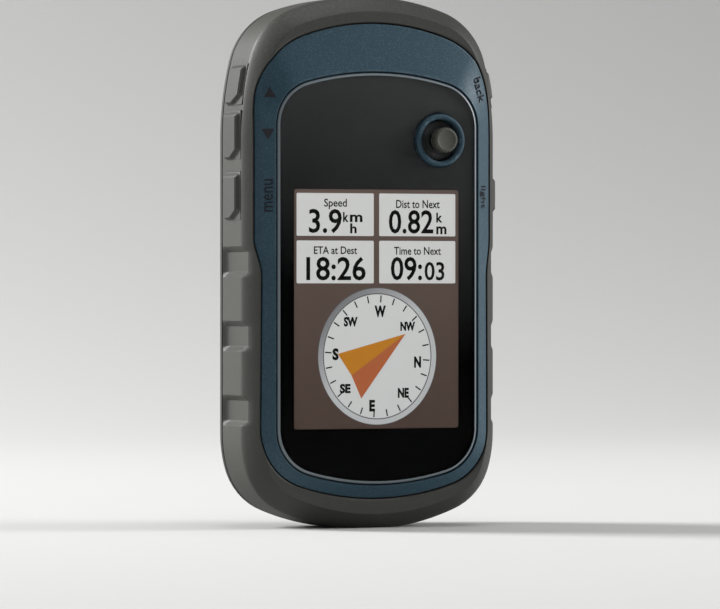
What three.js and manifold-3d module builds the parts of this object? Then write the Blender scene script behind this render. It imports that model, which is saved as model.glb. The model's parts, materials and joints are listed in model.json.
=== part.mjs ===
// Handheld GPS unit, standing on its lower end.
// Millimetres. +Z runs up the long axis, the display faces -Y, and +X is the
// viewer's right. The origin is at the middle of the base, on the surface.
import * as THREE from 'three';
import { mergeVertices } from 'three/addons/utils/BufferGeometryUtils.js';
import Module from 'manifold-3d';

const wasm = await Module();
wasm.setup();

// ---------------------------------------------------------------- clearances
const GAP = 0.3;             // between pieces that touch on the real unit
const KEY_TRAVEL = 0.4;
const KEY_AIR = 0.3;         // left over a switch when its key is pressed home
const WELD = 1e-4;
const PAST = 1;              // how far a cutter runs past the face it opens
const SINK = 0.5;            // how far a joined piece runs into its neighbour
const HEX = 6;
const THIN_SIDES = 12;       // facets round a thin shank
const ROD_SIDES = 18;
const ROUND_SIDES = 28;      // facets round a knob, a collar or a disc

// ---------------------------------------------------------------- outlines
// Each end of an outline is a crown arc, a corner arc and a long shoulder arc,
// all tangent. Angles are in degrees from the middle line.
const BODY = {
  half: 26.6,
  top: { apex: 102.6, crown: 48.7, angle: 19, corner: 13.8, shoulder: 64.8 },
  bottom: { apex: -0.4, crown: 47.5, angle: 23, corner: 12.4, shoulder: 23.6 },
};
const FACE = {
  half: 24.6,
  lowerHalf: 23.45,
  stepLow: 48.6,
  stepHigh: 55.8,
  top: { apex: 97.1, crown: 44.4, angle: 19.9, corner: 14.2, shoulder: 30.2 },
  bottom: { apex: 5.9, crown: 51.9, angle: 17.8, corner: 11.2 },
};
const WINDOW = {
  half: 20.9,
  top: { apex: 87.6, crown: 55.5, angle: 15.3, corner: 8.5 },
  bottom: { apex: 8.6, crown: 52.7, angle: 15.9, corner: 8.9 },
};
const CROWN_TURN = 5;            // most degrees between two facets of an arc
const CORNER_TURN = 9.6;
const SHOULDER_TURN = 6;
const STEP_STEPS = 4;
const BLOCK_REACH = 2 * BODY.half + BODY.top.apex;   // past every side of the unit

// ---------------------------------------------------------------- depths (Y)
const FACE_FRONT = -13.2;
const FACE_CROWN = 1.3;          // how far the face plate's edge falls back
const FACE_CROWN_WIDTH = 2.5;
const FACE_BACK = -10.9;
const WINDOW_FRONT = -13.25;
const WINDOW_THICK = 0.7;
const WINDOW_BEVEL = 0.35;
const WINDOW_AIR = 0.35;         // the dark line round the window
const WINDOW_LEDGE = 1.3;
const SEAL_THICK = 0.4;
const SEAL_WIDTH = 0.95;
const RIM_FRONT = -12.1;         // front edge of the grey bezel
const RIM_CHAMFER = 3.1;         // its chamfer, across
const SIDE_FRONT = -8.6;         // where the flat side begins
const HOUSING_WALL = 2.0;
const FACE_WALL_FRONT = FACE_BACK + GAP;
const FACE_WALL_BACK = -9.3;
const PARTING = 1.0;             // back edge of the front housing
const REAR_START = PARTING + GAP;
const REAR_BACK_WALL = 2.6;
// The back tapers in three slopes. Each gives its inset at the very back and how
// far behind the parting line it starts.
const REAR_SLOPES = [[5.9, 0.9], [7.9, 5.0], [8.4, 7.3]];
const CAVITY_SLOPES = [[4.6, 0.9], [6.1, 4.2]];

// ---------------------------------------------------------------- side notches
const NOTCH_LOWS = [19.7, 33.95, 48.2];
const NOTCH_HEIGHT = 6.1;
const NOTCH_RAMP = 1.2;
const NOTCH_DEPTH = 1.0;

// ---------------------------------------------------------------- display
const PANEL_HALF = 18.6;
const PANEL_LOW = 16.4;
const PANEL_HIGH = 67.0;
const PANEL_FRONT = WINDOW_FRONT + WINDOW_THICK + GAP;
const PANEL_THICK = 1.7;
const TRAY_WALL = 0.5;
const TRAY_LIP = 0.35;
const TRAY_FLOOR = 1.2;
const TRAY_HALF = PANEL_HALF + GAP + TRAY_WALL;
const TRAY_LOW = PANEL_LOW - GAP - TRAY_WALL;
const TRAY_HIGH = PANEL_HIGH + GAP + TRAY_WALL;
const TRAY_FLOOR_FRONT = PANEL_FRONT + PANEL_THICK + GAP;
const TRAY_BACK = TRAY_FLOOR_FRONT + TRAY_FLOOR;
const FLEX_WIDTH = 12;
const FLEX_THICK = 0.3;
const FLEX_TOP = 24;
const FLEX_BEND = 14.2;
const FLEX_FOOT = 21;
const FLEX_STEPS = 6;

// ---------------------------------------------------------------- thumb stick
const STICK_X = 13.0;
const STICK_Z = 74.8;
const COLLAR_OUTER = 5.1;
const COLLAR_INNER = 4.07;
const COLLAR_FRONT = -13.95;
const COLLAR_ROUND = 0.35;
const COLLAR_FLANGE = 6.1;
const COLLAR_FLANGE_THICK = 0.9;
const BOOT_FRONT = -12.6;
const BOOT_LIP = 0.7;
const BOOT_HOLE = 2.0;
const BOOT_HOLLOW = 3.1;
const CAP_RADIUS = 2.5;
const CAP_TIP = -16.5;
const CAP_BACK = -13.6;
const CAP_DISH = 0.25;
const CAP_RIM = 1.9;
const CAP_EDGE = 0.2;
const CAP_EDGE_DROP = 0.15;
const CAP_WALL_DROP = 0.6;
const CAP_TAPER = 0.3;
const SHAFT_RADIUS = 1.0;
const SHAFT_TIP = -15.3;
const SHAFT_FOOT = -7.2;
const STICK_PIVOT = -7.6;
const ROCKER_RADIUS = 2.45;
const ROCKER_THICK = 0.8;
const GIMBAL_RADIUS = 3.45;
const GIMBAL_THICK = 0.7;
const SWITCH_BOX = 9.4;
const SWITCH_WELL = 3.85;
const SWITCH_FLOOR = -6.7;

// ---------------------------------------------------------------- side keys
const KEY_FRONT = -8.0;
const KEY_BACK = -1.2;
const KEY_PROUD = 0.85;
const KEY_CHAMFER = 0.7;
const KEY_SQUARE = 0.05;         // a key tilts with a side that slopes more than this
const KEY_FLANGE = 1.0;
const KEY_FLANGE_WIDE = 0.8;
const KEY_FLANGE_AIR = 0.6;      // room for the wall's curve behind a flat flange
const KEYS = [
  { name: 'zoom_in_key', side: -1, low: 81.6, high: 89.0, flangeLow: 0, flangeHigh: 0 },
  { name: 'zoom_out_key', side: -1, low: 71.2, high: 80.0, flangeLow: 1, flangeHigh: 0 },
  { name: 'menu_key', side: -1, low: 59.6, high: 68.3, flangeLow: 1, flangeHigh: 1 },
  { name: 'back_key', side: 1, low: 81.6, high: 88.8, flangeLow: 1, flangeHigh: 0 },
  { name: 'light_key', side: 1, low: 59.9, high: 67.9, flangeLow: 1, flangeHigh: 1 },
];
const TACT_DEEP = 2.0;
const TACT_STUB = 0.6;
const TACT_ROOT = 0.4;           // of the stub, inside the switch
const TACT_STUB_RADIUS = 0.8;
const TACT_HALF_HEIGHT = 1.8;

// ---------------------------------------------------------------- boards
const BOARD_FRONT = -6.1;
const BOARD_BACK = -5.0;
const BOARD_INSET = 4.1;
const PART_FRONT = TRAY_BACK + GAP;      // tallest part on the board's face
const ANTENNA = { x: -7.5, z: 80.5, half: 8.0 };
const ANTENNA_PATCH = { half: 6.4, raise: 0.25 };
const PROCESSOR = { x: -3.0, z: 41.0, halfX: 9.5, halfZ: 11.0 };
const RADIO = { x: 9.5, z: 78.0, halfX: 6.5, halfZ: 6.0, back: -2.7 };
const CAN_WALL = 0.4;
const BUZZER = { x: -12.0, z: 80.0, radius: 5.0, back: -1.9, hole: 0.9, deep: 1.0 };
const CARD = { halfX: 7.0, low: 33.0, high: 48.0, wall: 0.3, thick: 1.1 };

// ---------------------------------------------------------------- battery bay
const CELL_RADIUS = 7.15;
const CELL_LENGTH = 50.5;
const CELL_EDGE = 0.4;
const CELL_NUB = 1.0;
const CELL_NUB_RADIUS = 2.75;
const CELL_AIR = 0.45;           // beside each cell
const CELL_X = CELL_RADIUS + CELL_AIR;
const BAY_FLOOR = -3.6;
const CELL_Y = BAY_FLOOR + GAP + CELL_RADIUS;
const BAY_HALF = CELL_X + CELL_RADIUS + CELL_AIR;
const BAY_LOW = 12.4;
const BAY_HIGH = 68.8;
const BAY_WALL = 1.2;
const BAY_CORNER = 3.0;
const BAY_FLOOR_THICK = 1.1;
const CONTACT_THICK = 0.4;
const CONTACT_HALF = CELL_RADIUS - 2.35;
const SPRING_WIRE = 0.4;
const SPRING_WIDE = CELL_RADIUS - 2.95;
const SPRING_NARROW = 2.6;
const SPRING_TURNS = 3;
const SPRING_LENGTH = 3.6;

// ---------------------------------------------------------------- battery cover
// The latch tongue slides between the cells and the cover, which sets the back.
const COVER_THICK = 1.7;
const TONGUE_FRONT = CELL_Y + CELL_RADIUS + GAP;
const TONGUE_THICK = 0.9;
const COVER_INNER = TONGUE_FRONT + TONGUE_THICK + GAP;
const BACK = COVER_INNER + COVER_THICK;
const REAR_INNER_BACK = BACK - REAR_BACK_WALL;
const COVER_MARGIN = 2.4;        // the rim the cover rests on, beside the bay
const COVER_HALF = BAY_HALF + COVER_MARGIN;
const COVER_LOW = 9.0;
const COVER_HIGH = 77.1;
const COVER_CORNER = 8.0;
const COVER_STEPS = 6;
const LEDGE = COVER_INNER - GAP;
const COVER_TOP_AIR = 0.8;
const COVER_EDGE = 0.4;
const TAB_X = 9.0;
const TAB_HALF = 2.5;
const TAB_REACH = 1.5;
const TAB_THICK = 0.7;
const TAB_POCKET = { front: COVER_INNER - 1.2, back: COVER_INNER + 1, high: 79.2, air: 0.4 };
const RIM_BLOCK = { half: COVER_HALF + 1.8, low: 7.3, high: 80.4, front: COVER_INNER - 2.7 };
const SEAL_RING = {
  inner: BAY_HALF + 0.9, wide: 1.2, low: 9.4, high: 73.4, depth: 0.9, corner: 7.7,
};
const SPINE = {
  low: 31, high: 73, foot: 3.4, head: 5.0, neckBack: BACK + 1.1, back: BACK + 2.3,
};
const SPINE_STOP = { low: 50, high: 53.5, depth: 0.7 };
const SPINE_SCREWS = [36, 68];
const SPINE_SCREW = { head: 1.9, headThick: 0.8, shank: 0.9, foot: COVER_INNER + 0.4 };

// ---------------------------------------------------------------- latch
const LATCH_Z = 20.0;
const DISC_RADIUS = 6.4;
const DISC_BACK = BACK + 0.8;
const HUB_RADIUS = 3.0;
const HUB_FRONT = TONGUE_FRONT;
const LUG_HALF = 2.4;
const LUG_HEIGHT = 1.5;
const RING_WIRE = 0.6;
const RING_BAR = 0.5;
const RING_OVERLAP = 0.1;        // the bow runs this far past the bar, in radians
const RING_RADIUS = 5.6;
const RING_Y = BACK + 1.7;
const RING_HOLE = 0.95;
const TONGUE = { outer: 4.4, reach: 8.6, half: 2.3 };
const RETAINER = { thick: 0.65, radius: 3.5 };
const KEEPER = { low: 11.1, left: -8.6, right: 3.2, deep: 0.4 };

// ---------------------------------------------------------------- weather cap
const FLAP_HALF = 7.5;
const FLAP_LOW = 81.2;
const FLAP_HIGH = 93.5;
const FLAP_CORNER = 2.4;
const PLUG = { half: 4.8, low: 84.9, high: 89.9, deep: 0.8, air: 0.9 };
const PULL = { half: 2.6, drop: 0.9, thick: 0.8 };
const USB = { half: 3.85, z: 87.3, halfZ: 1.95, back: COVER_INNER - 1.6, wall: 0.4, deep: 5.6 };
const IO_BOARD = { half: 9.0, low: 80.6, high: 96.0, thick: 1.0, back: USB.back - 6.9 };
const LINK = { half: 6.0, low: 92.0, high: 94.6 };

// ---------------------------------------------------------------- fasteners
const BOSS_OFFSET = 2.1;         // from the bay's wall to the screw's middle
const CASE_SCREWS = [
  { name: 'case_screw_top_left', x: -14.4, z: 93.6 },
  { name: 'case_screw_top_right', x: 14.4, z: 93.6 },
  { name: 'case_screw_bottom_left', x: -BAY_HALF - BAY_WALL - BOSS_OFFSET, z: 10.1 },
  { name: 'case_screw_bottom_right', x: BAY_HALF + BAY_WALL + BOSS_OFFSET, z: 10.1 },
];
const BOSS = 2.3;
const BOSS_WIDE = 3.7;
const BOSS_WIDE_START = BACK - 8.2;
const HEAD_FLOOR = BACK - 6.8;
const HEAD_RADIUS = 2.0;
const HEAD_THICK = 1.6;
const SCREW_SHANK = 1.0;
const SCREW_TIP = -4.2;
const DRIVE_RADIUS = 1.0;
const DRIVE_DEEP = 0.8;
const BOARD_SCREWS = [
  { name: 'board_screw_bottom', x: 0, z: 7.2 },
  { name: 'board_screw_left', x: -18.7, z: 71.3 },
  { name: 'board_screw_right', x: 20.0, z: 73.6 },
];
const POST = 1.75;
const POST_SHANK = 0.7;
const POST_TIP = -8.6;
const POST_HEAD = 1.5;
const POST_HEAD_THICK = 0.8;
const CASE_SEAL = { outer: 2.3, inner: 3.1, front: -0.2, back: 2.4 };

// ---------------------------------------------------------------- materials
const MATERIALS = {
  housing: { color: 0x6f6c64, roughness: 0.62, metalness: 0 },
  rear: { color: 0x4a4a46, roughness: 0.65, metalness: 0 },
  face: { color: 0x4f6c7c, roughness: 0.38, metalness: 0.35 },
  window: { color: 0x14171a, roughness: 0.08, metalness: 0 },
  key: { color: 0x64615a, roughness: 0.6, metalness: 0 },
  rubber: { color: 0x1b1c1e, roughness: 0.85, metalness: 0 },
  stick: { color: 0x2b2d30, roughness: 0.7, metalness: 0 },
  panel: { color: 0x6a5c55, roughness: 0.3, metalness: 0 },
  tray: { color: 0xdfdfda, roughness: 0.5, metalness: 0 },
  board: { color: 0x1f5a3c, roughness: 0.5, metalness: 0 },
  flex: { color: 0xb06a2a, roughness: 0.4, metalness: 0 },
  steel: { color: 0xb9bcbf, roughness: 0.3, metalness: 1 },
  ceramic: { color: 0xd9cdb4, roughness: 0.6, metalness: 0 },
  nickel: { color: 0xc8c4b8, roughness: 0.25, metalness: 1 },
  cell: { color: 0x2f6f8f, roughness: 0.35, metalness: 0.2 },
  inner: { color: 0x26282a, roughness: 0.6, metalness: 0 },
};

// ---------------------------------------------------------------- solids
/** Closed geometry to a solid, turned right side out when it is mirrored. */
function solid(geometry) {
  const bare = geometry.clone();
  bare.deleteAttribute('normal');
  bare.deleteAttribute('uv');
  const merged = mergeVertices(bare, WELD);
  const place = merged.attributes.position;
  const corners = [];
  let volume = 0;
  const a = new THREE.Vector3();
  const b = new THREE.Vector3();
  const c = new THREE.Vector3();
  for (let i = 0; i < merged.index.count; i += 3) {
    const [p, q, r] = [0, 1, 2].map((k) => merged.index.getX(i + k));
    if (p === q || q === r || r === p) continue;
    a.fromBufferAttribute(place, p);
    b.fromBufferAttribute(place, q);
    c.fromBufferAttribute(place, r);
    volume += a.dot(b.cross(c));
    corners.push(p, q, r);
  }
  if (volume < 0) corners.reverse();
  return new wasm.Manifold(new wasm.Mesh({
    numProp: 3,
    vertProperties: new Float32Array(place.array),
    triVerts: new Uint32Array(corners),
  }));
}

function box(x0, x1, y0, y1, z0, z1) {
  const geometry = new THREE.BoxGeometry(x1 - x0, y1 - y0, z1 - z0);
  geometry.translate((x0 + x1) / 2, (y0 + y1) / 2, (z0 + z1) / 2);
  return solid(geometry);
}

/** Cylinder along Y. */
function rod(x, z, radius, y0, y1, sides = ROD_SIDES) {
  const geometry = new THREE.CylinderGeometry(radius, radius, y1 - y0, sides);
  geometry.translate(x, (y0 + y1) / 2, z);
  return solid(geometry);
}

/** Turned piece about a line along Y. Each profile point is [radius, y]. */
function turned(x, z, profile, sides = ROUND_SIDES) {
  const closed = profile.map(([r, y]) => new THREE.Vector2(r, y));
  if (profile[0][0] > 0) closed.push(closed[0].clone());
  const geometry = new THREE.LatheGeometry(closed, sides);
  geometry.translate(x, 0, z);
  return solid(geometry);
}

/** Outline in X and Z, extruded along Y from y0 to y1. */
function slab(points, y0, y1) {
  const geometry = new THREE.ExtrudeGeometry(new THREE.Shape(points), {
    depth: y1 - y0,
    bevelEnabled: false,
  });
  geometry.rotateX(Math.PI / 2);
  geometry.translate(0, y1, 0);
  return solid(geometry);
}

/** The same with one end drawn in: end -1 is the front, +1 the back. */
function crownedSlab(points, y0, y1, end, bevel) {
  const geometry = new THREE.ExtrudeGeometry(new THREE.Shape(points), {
    depth: y1 - y0 - bevel.thick + PAST,
    bevelEnabled: true,
    bevelThickness: bevel.thick,
    bevelSize: bevel.size,
    bevelOffset: -bevel.size,
    bevelSegments: bevel.segments,
  });
  geometry.rotateX(Math.PI / 2);
  geometry.translate(0, end < 0 ? y1 + PAST : y1 - bevel.thick, 0);
  return solid(geometry).intersect(
    box(-BLOCK_REACH, BLOCK_REACH, y0, y1, -BLOCK_REACH, BLOCK_REACH));
}

function unite(pieces) {
  return pieces.reduce((whole, piece) => whole.add(piece));
}

function cut(whole, tools) {
  return tools.reduce((rest, tool) => rest.subtract(tool), whole);
}

// ---------------------------------------------------------------- outlines
/** One end of an outline, from the middle line out: points [x, rise]. */
function endArcs(half, end, inset) {
  const crown = end.crown - inset;
  const corner = end.corner - inset;
  const first = THREE.MathUtils.degToRad(end.angle);
  const reach = half - inset;
  let last = Math.PI / 2;
  let shoulder = corner;
  if (end.shoulder) {
    shoulder = end.shoulder - inset;
    last = Math.asin((reach - shoulder - (crown - corner) * Math.sin(first)) / (corner - shoulder));
  }
  const points = [];
  let centreX = 0;
  let centreZ = end.apex - end.crown;
  const arc = (radius, from, to, turn, skip) => {
    const steps = Math.max(2, Math.ceil(THREE.MathUtils.radToDeg(to - from) / turn));
    for (let i = skip; i <= steps; i += 1) {
      const angle = from + (to - from) * i / steps;
      points.push([centreX + radius * Math.sin(angle), centreZ + radius * Math.cos(angle)]);
    }
  };
  const carry = (from, to, angle) => {
    centreX += (from - to) * Math.sin(angle);
    centreZ += (from - to) * Math.cos(angle);
  };
  arc(crown, 0, first, CROWN_TURN, 0);
  carry(crown, corner, first);
  arc(corner, first, last, CORNER_TURN, 1);
  if (end.shoulder) {
    carry(corner, shoulder, last);
    arc(shoulder, last, Math.PI / 2, SHOULDER_TURN, 1);
  }
  points[points.length - 1][0] = reach;
  return points;
}

/** Whole outline, right side and its mirror. */
function outline(spec, inset = 0) {
  const lowerHalf = spec.lowerHalf ?? spec.half;
  const flipped = { ...spec.bottom, apex: -spec.bottom.apex };
  const right = endArcs(lowerHalf, flipped, inset).map(([x, rise]) => [x, -rise]);
  if (spec.lowerHalf) {
    for (let i = 0; i <= STEP_STEPS; i += 1) {
      const t = i / STEP_STEPS;
      const blend = t * t * (3 - 2 * t);
      const x = lowerHalf + (spec.half - lowerHalf) * blend - inset;
      right.push([x, spec.stepLow + (spec.stepHigh - spec.stepLow) * t]);
    }
  }
  right.push(...endArcs(spec.half, spec.top, inset).reverse());
  const left = right.slice(1, -1).reverse().map(([x, z]) => [-x, z]);
  return [...right, ...left].map(([x, z]) => new THREE.Vector2(x, z));
}

function roundRect(x0, x1, z0, z1, radius, steps = 4) {
  const points = [];
  const centres = [
    [x1 - radius, z0 + radius, -90],
    [x1 - radius, z1 - radius, 0],
    [x0 + radius, z1 - radius, 90],
    [x0 + radius, z0 + radius, 180],
  ];
  for (const [x, z, start] of centres) {
    for (let i = 0; i <= steps; i += 1) {
      const angle = THREE.MathUtils.degToRad(start + 90 * i / steps);
      points.push(new THREE.Vector2(x + radius * Math.cos(angle), z + radius * Math.sin(angle)));
    }
  }
  return points;
}

/** Place and outward direction of the body's side at a height. */
function sideAt(z) {
  const points = outline(BODY).filter((p) => p.x > 0);
  for (let i = 1; i < points.length; i += 1) {
    const [a, b] = [points[i - 1], points[i]];
    if (a.x > BODY.half / 2 && a.y <= z && b.y > z) {
      const t = (z - a.y) / (b.y - a.y);
      const along = b.clone().sub(a).normalize();
      return { x: a.x + (b.x - a.x) * t, normalX: along.y, normalZ: -along.x };
    }
  }
  return { x: BODY.half, normalX: 1, normalZ: 0 };
}

// ---------------------------------------------------------------- assembly
const unit = new THREE.Group();
unit.name = 'handheld_gps_unit';

function addPiece(name, piece, slot) {
  const { vertProperties, triVerts } = piece.getMesh();
  const geometry = new THREE.BufferGeometry();
  geometry.setAttribute('position', new THREE.BufferAttribute(new Float32Array(vertProperties), 3));
  geometry.setIndex(new THREE.BufferAttribute(new Uint32Array(triVerts), 1));
  const mesh = new THREE.Mesh(geometry, new THREE.MeshStandardMaterial(MATERIALS[slot]));
  mesh.name = name;
  unit.add(mesh);
}

// ---------------------------------------------------------------- side keys
/** Block in a key's own frame: outward x, depth y, along-the-side z. */
function keyBlock(key, x0, x1, y0, y1, z0, z1, chamfer = 0) {
  const middle = (key.low + key.high) / 2;
  const side = sideAt(middle);
  if (Math.abs(side.normalZ) < KEY_SQUARE) {
    side.normalX = 1;
    side.normalZ = 0;
  }
  const rectangle = new THREE.Shape([
    new THREE.Vector2(-z1, y0),
    new THREE.Vector2(-z0, y0),
    new THREE.Vector2(-z0, y1),
    new THREE.Vector2(-z1, y1),
  ]);
  const geometry = new THREE.ExtrudeGeometry(rectangle, {
    depth: x1 - x0 - 2 * chamfer,
    bevelEnabled: chamfer > 0,
    bevelThickness: chamfer,
    bevelSize: chamfer,
    bevelOffset: -chamfer,
    bevelSegments: 1,
  });
  geometry.rotateY(Math.PI / 2);
  geometry.translate(x0 + chamfer, 0, 0);
  const frame = new THREE.Matrix4().makeBasis(
    new THREE.Vector3(side.normalX, 0, side.normalZ),
    new THREE.Vector3(0, 1, 0),
    new THREE.Vector3(-side.normalZ, 0, side.normalX),
  );
  frame.setPosition(side.x, 0, middle);
  geometry.applyMatrix4(frame);
  geometry.scale(key.side, 1, 1);
  return solid(geometry);
}

const keyWindows = [];
for (const key of KEYS) {
  const halfHeight = (key.high - key.low) / 2;
  const flangeOuter = -HOUSING_WALL - KEY_FLANGE_AIR;
  const flangeInner = flangeOuter - KEY_FLANGE;
  const cap = keyBlock(key, -HOUSING_WALL - KEY_FLANGE, KEY_PROUD,
    KEY_FRONT, KEY_BACK, -halfHeight, halfHeight, KEY_CHAMFER);
  const stem = keyBlock(key, flangeInner, 0, KEY_FRONT, KEY_BACK, -halfHeight, halfHeight);
  const flange = keyBlock(key, flangeInner, flangeOuter, KEY_FRONT, KEY_BACK,
    -halfHeight - KEY_FLANGE_WIDE * key.flangeLow,
    halfHeight + KEY_FLANGE_WIDE * key.flangeHigh);
  addPiece(key.name, unite([cap, stem, flange]), 'key');

  keyWindows.push(keyBlock(key, -HOUSING_WALL - GAP, KEY_PROUD + GAP,
    KEY_FRONT - GAP, KEY_BACK + GAP, -halfHeight - GAP, halfHeight + GAP));

  const stubTip = flangeInner - KEY_TRAVEL - KEY_AIR;
  const tactFace = stubTip - TACT_STUB;
  const tactMiddle = (PART_FRONT + BOARD_FRONT - GAP) / 2;
  const tact = keyBlock(key, tactFace - TACT_DEEP, tactFace, PART_FRONT, BOARD_FRONT - GAP,
    -TACT_HALF_HEIGHT, TACT_HALF_HEIGHT);
  const stub = keyBlock(key, tactFace - TACT_ROOT, stubTip,
    tactMiddle - TACT_STUB_RADIUS, tactMiddle + TACT_STUB_RADIUS,
    -TACT_STUB_RADIUS, TACT_STUB_RADIUS);
  addPiece(key.name.replace('_key', '_switch'), tact.add(stub), 'inner');
}

// ---------------------------------------------------------------- front housing
function notchCutters() {
  const cutters = [];
  const outer = BODY.half + NOTCH_DEPTH;
  const floor = BODY.half - NOTCH_DEPTH;
  for (const low of NOTCH_LOWS) {
    for (const side of [-1, 1]) {
      const points = [
        [outer, low - NOTCH_RAMP],
        [outer, low + NOTCH_HEIGHT + NOTCH_RAMP],
        [floor, low + NOTCH_HEIGHT - NOTCH_RAMP],
        [floor, low + NOTCH_RAMP],
      ].map(([x, z]) => new THREE.Vector2(side * x, z));
      cutters.push(slab(points, RIM_FRONT - PAST, PARTING + PAST));
    }
  }
  return cutters;
}

const baseTrim = box(-BLOCK_REACH, BLOCK_REACH, -BLOCK_REACH, BLOCK_REACH, -BLOCK_REACH, 0);
const frontOuter = crownedSlab(outline(BODY), RIM_FRONT, PARTING, -1, {
  size: RIM_CHAMFER,
  thick: SIDE_FRONT - RIM_FRONT,
  segments: 1,
});
const frontCavity = slab(outline(BODY, HOUSING_WALL), FACE_WALL_BACK, PARTING + PAST);
const facePocket = slab(outline(FACE, -GAP), RIM_FRONT - PAST, FACE_WALL_FRONT);
const displayOpening = box(-TRAY_HALF - GAP, TRAY_HALF + GAP, RIM_FRONT, FACE_WALL_BACK + PAST,
  TRAY_LOW - GAP, TRAY_HIGH + GAP);
const stickOpening = rod(STICK_X, STICK_Z, COLLAR_INNER, RIM_FRONT, FACE_WALL_BACK + PAST);
const frontBosses = CASE_SCREWS.map((s) => rod(s.x, s.z, BOSS, FACE_WALL_BACK - SINK, PARTING));
const boardPosts = BOARD_SCREWS.map((s) => (
  rod(s.x, s.z, POST, FACE_WALL_BACK - SINK, BOARD_FRONT - GAP)));
const frontBores = [
  ...CASE_SCREWS.map((s) => rod(s.x, s.z, SCREW_SHANK + GAP, SCREW_TIP - GAP, PARTING + PAST,
    THIN_SIDES)),
  ...BOARD_SCREWS.map((s) => rod(s.x, s.z, POST_SHANK + GAP, POST_TIP - GAP, BOARD_FRONT,
    THIN_SIDES)),
];
const frontShell = cut(frontOuter, [
  frontCavity, facePocket, displayOpening, stickOpening, baseTrim,
  ...notchCutters(), ...keyWindows,
]);
addPiece('front_housing', cut(unite([frontShell, ...frontBosses, ...boardPosts]), frontBores),
  'housing');

// ---------------------------------------------------------------- face plate, window
const faceSolid = crownedSlab(outline(FACE), FACE_FRONT, FACE_BACK, -1, {
  size: FACE_CROWN_WIDTH,
  thick: FACE_CROWN,
  segments: 3,
});
const sealFront = WINDOW_FRONT + WINDOW_THICK + GAP;
const ledgeFront = sealFront + SEAL_THICK + GAP;
const faceOpenings = [
  slab(outline(WINDOW, -WINDOW_AIR), FACE_FRONT - PAST, ledgeFront),
  slab(outline(WINDOW, WINDOW_LEDGE), FACE_FRONT, FACE_BACK + PAST),
];
addPiece('face_plate', cut(faceSolid, faceOpenings), 'face');

const windowSolid = crownedSlab(outline(WINDOW), WINDOW_FRONT, WINDOW_FRONT + WINDOW_THICK, -1, {
  size: WINDOW_BEVEL,
  thick: WINDOW_BEVEL,
  segments: 1,
});
const windowHole = rod(STICK_X, STICK_Z, COLLAR_OUTER + GAP, WINDOW_FRONT - PAST, FACE_BACK,
  ROUND_SIDES);
addPiece('display_window', windowSolid.subtract(windowHole), 'window');
addPiece('window_seal', slab(outline(WINDOW, GAP), sealFront, sealFront + SEAL_THICK)
  .subtract(slab(outline(WINDOW, GAP + SEAL_WIDTH), sealFront - PAST, sealFront + PAST)),
'rubber');

// ---------------------------------------------------------------- display
addPiece('display_panel', box(-PANEL_HALF, PANEL_HALF, PANEL_FRONT, PANEL_FRONT + PANEL_THICK,
  PANEL_LOW, PANEL_HIGH), 'panel');
const trayFront = TRAY_FLOOR_FRONT - TRAY_LIP;
const trayPocket = box(-PANEL_HALF - GAP, PANEL_HALF + GAP, trayFront - PAST, TRAY_FLOOR_FRONT,
  PANEL_LOW - GAP, PANEL_HIGH + GAP);
addPiece('backlight_tray', box(-TRAY_HALF, TRAY_HALF, trayFront, TRAY_BACK, TRAY_LOW, TRAY_HIGH)
  .subtract(trayPocket), 'tray');

/** Flat cable: down the tray's back, round a bend, and up to the board. */
function displayFlex() {
  const front = TRAY_BACK + GAP;
  const back = BOARD_FRONT - GAP;
  const middle = (front + back) / 2;
  const outer = (back - front) / 2;
  const inner = outer - FLEX_THICK;
  const points = [[front, FLEX_TOP]];
  const bend = (radius, from, to) => {
    for (let i = 0; i <= FLEX_STEPS; i += 1) {
      const angle = from + (to - from) * i / FLEX_STEPS;
      points.push([middle + radius * Math.cos(angle), FLEX_BEND - radius * Math.sin(angle)]);
    }
  };
  bend(outer, Math.PI, 0);
  points.push([back, FLEX_FOOT], [back - FLEX_THICK, FLEX_FOOT]);
  bend(inner, 0, Math.PI);
  points.push([front + FLEX_THICK, FLEX_TOP]);
  const shape = new THREE.Shape(points.map(([y, z]) => new THREE.Vector2(y, z)));
  const geometry = new THREE.ExtrudeGeometry(shape, { depth: FLEX_WIDTH, bevelEnabled: false });
  geometry.rotateX(Math.PI / 2);
  geometry.rotateZ(Math.PI / 2);
  geometry.translate(-FLEX_WIDTH / 2, 0, 0);
  return solid(geometry);
}
addPiece('display_flex', displayFlex(), 'flex');

// ---------------------------------------------------------------- thumb stick
addPiece('stick_collar', turned(STICK_X, STICK_Z, [
  [COLLAR_INNER, FACE_BACK],
  [COLLAR_FLANGE, FACE_BACK],
  [COLLAR_FLANGE, FACE_BACK - COLLAR_FLANGE_THICK],
  [COLLAR_OUTER, FACE_BACK - COLLAR_FLANGE_THICK],
  [COLLAR_OUTER, COLLAR_FRONT + COLLAR_ROUND],
  [COLLAR_OUTER - COLLAR_ROUND, COLLAR_FRONT],
  [COLLAR_INNER, COLLAR_FRONT],
]), 'face');
const switchTop = FACE_WALL_BACK + GAP;
addPiece('stick_boot', turned(STICK_X, STICK_Z, [
  [BOOT_HOLE, BOOT_FRONT],
  [COLLAR_INNER - GAP, BOOT_FRONT],
  [COLLAR_INNER - GAP, switchTop - GAP],
  [BOOT_HOLLOW, switchTop - GAP],
  [BOOT_HOLLOW, BOOT_FRONT + BOOT_LIP],
  [BOOT_HOLE, BOOT_FRONT + BOOT_LIP],
]), 'rubber');
addPiece('stick_cap', turned(STICK_X, STICK_Z, [
  [0, CAP_TIP + CAP_DISH],
  [CAP_RIM, CAP_TIP],
  [CAP_RADIUS - CAP_EDGE, CAP_TIP + CAP_EDGE_DROP],
  [CAP_RADIUS, CAP_TIP + CAP_WALL_DROP],
  [CAP_RADIUS - CAP_TAPER, CAP_BACK],
  [SHAFT_RADIUS + GAP, CAP_BACK],
  [SHAFT_RADIUS + GAP, SHAFT_TIP - GAP],
  [0, SHAFT_TIP - GAP],
]), 'stick');
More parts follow.
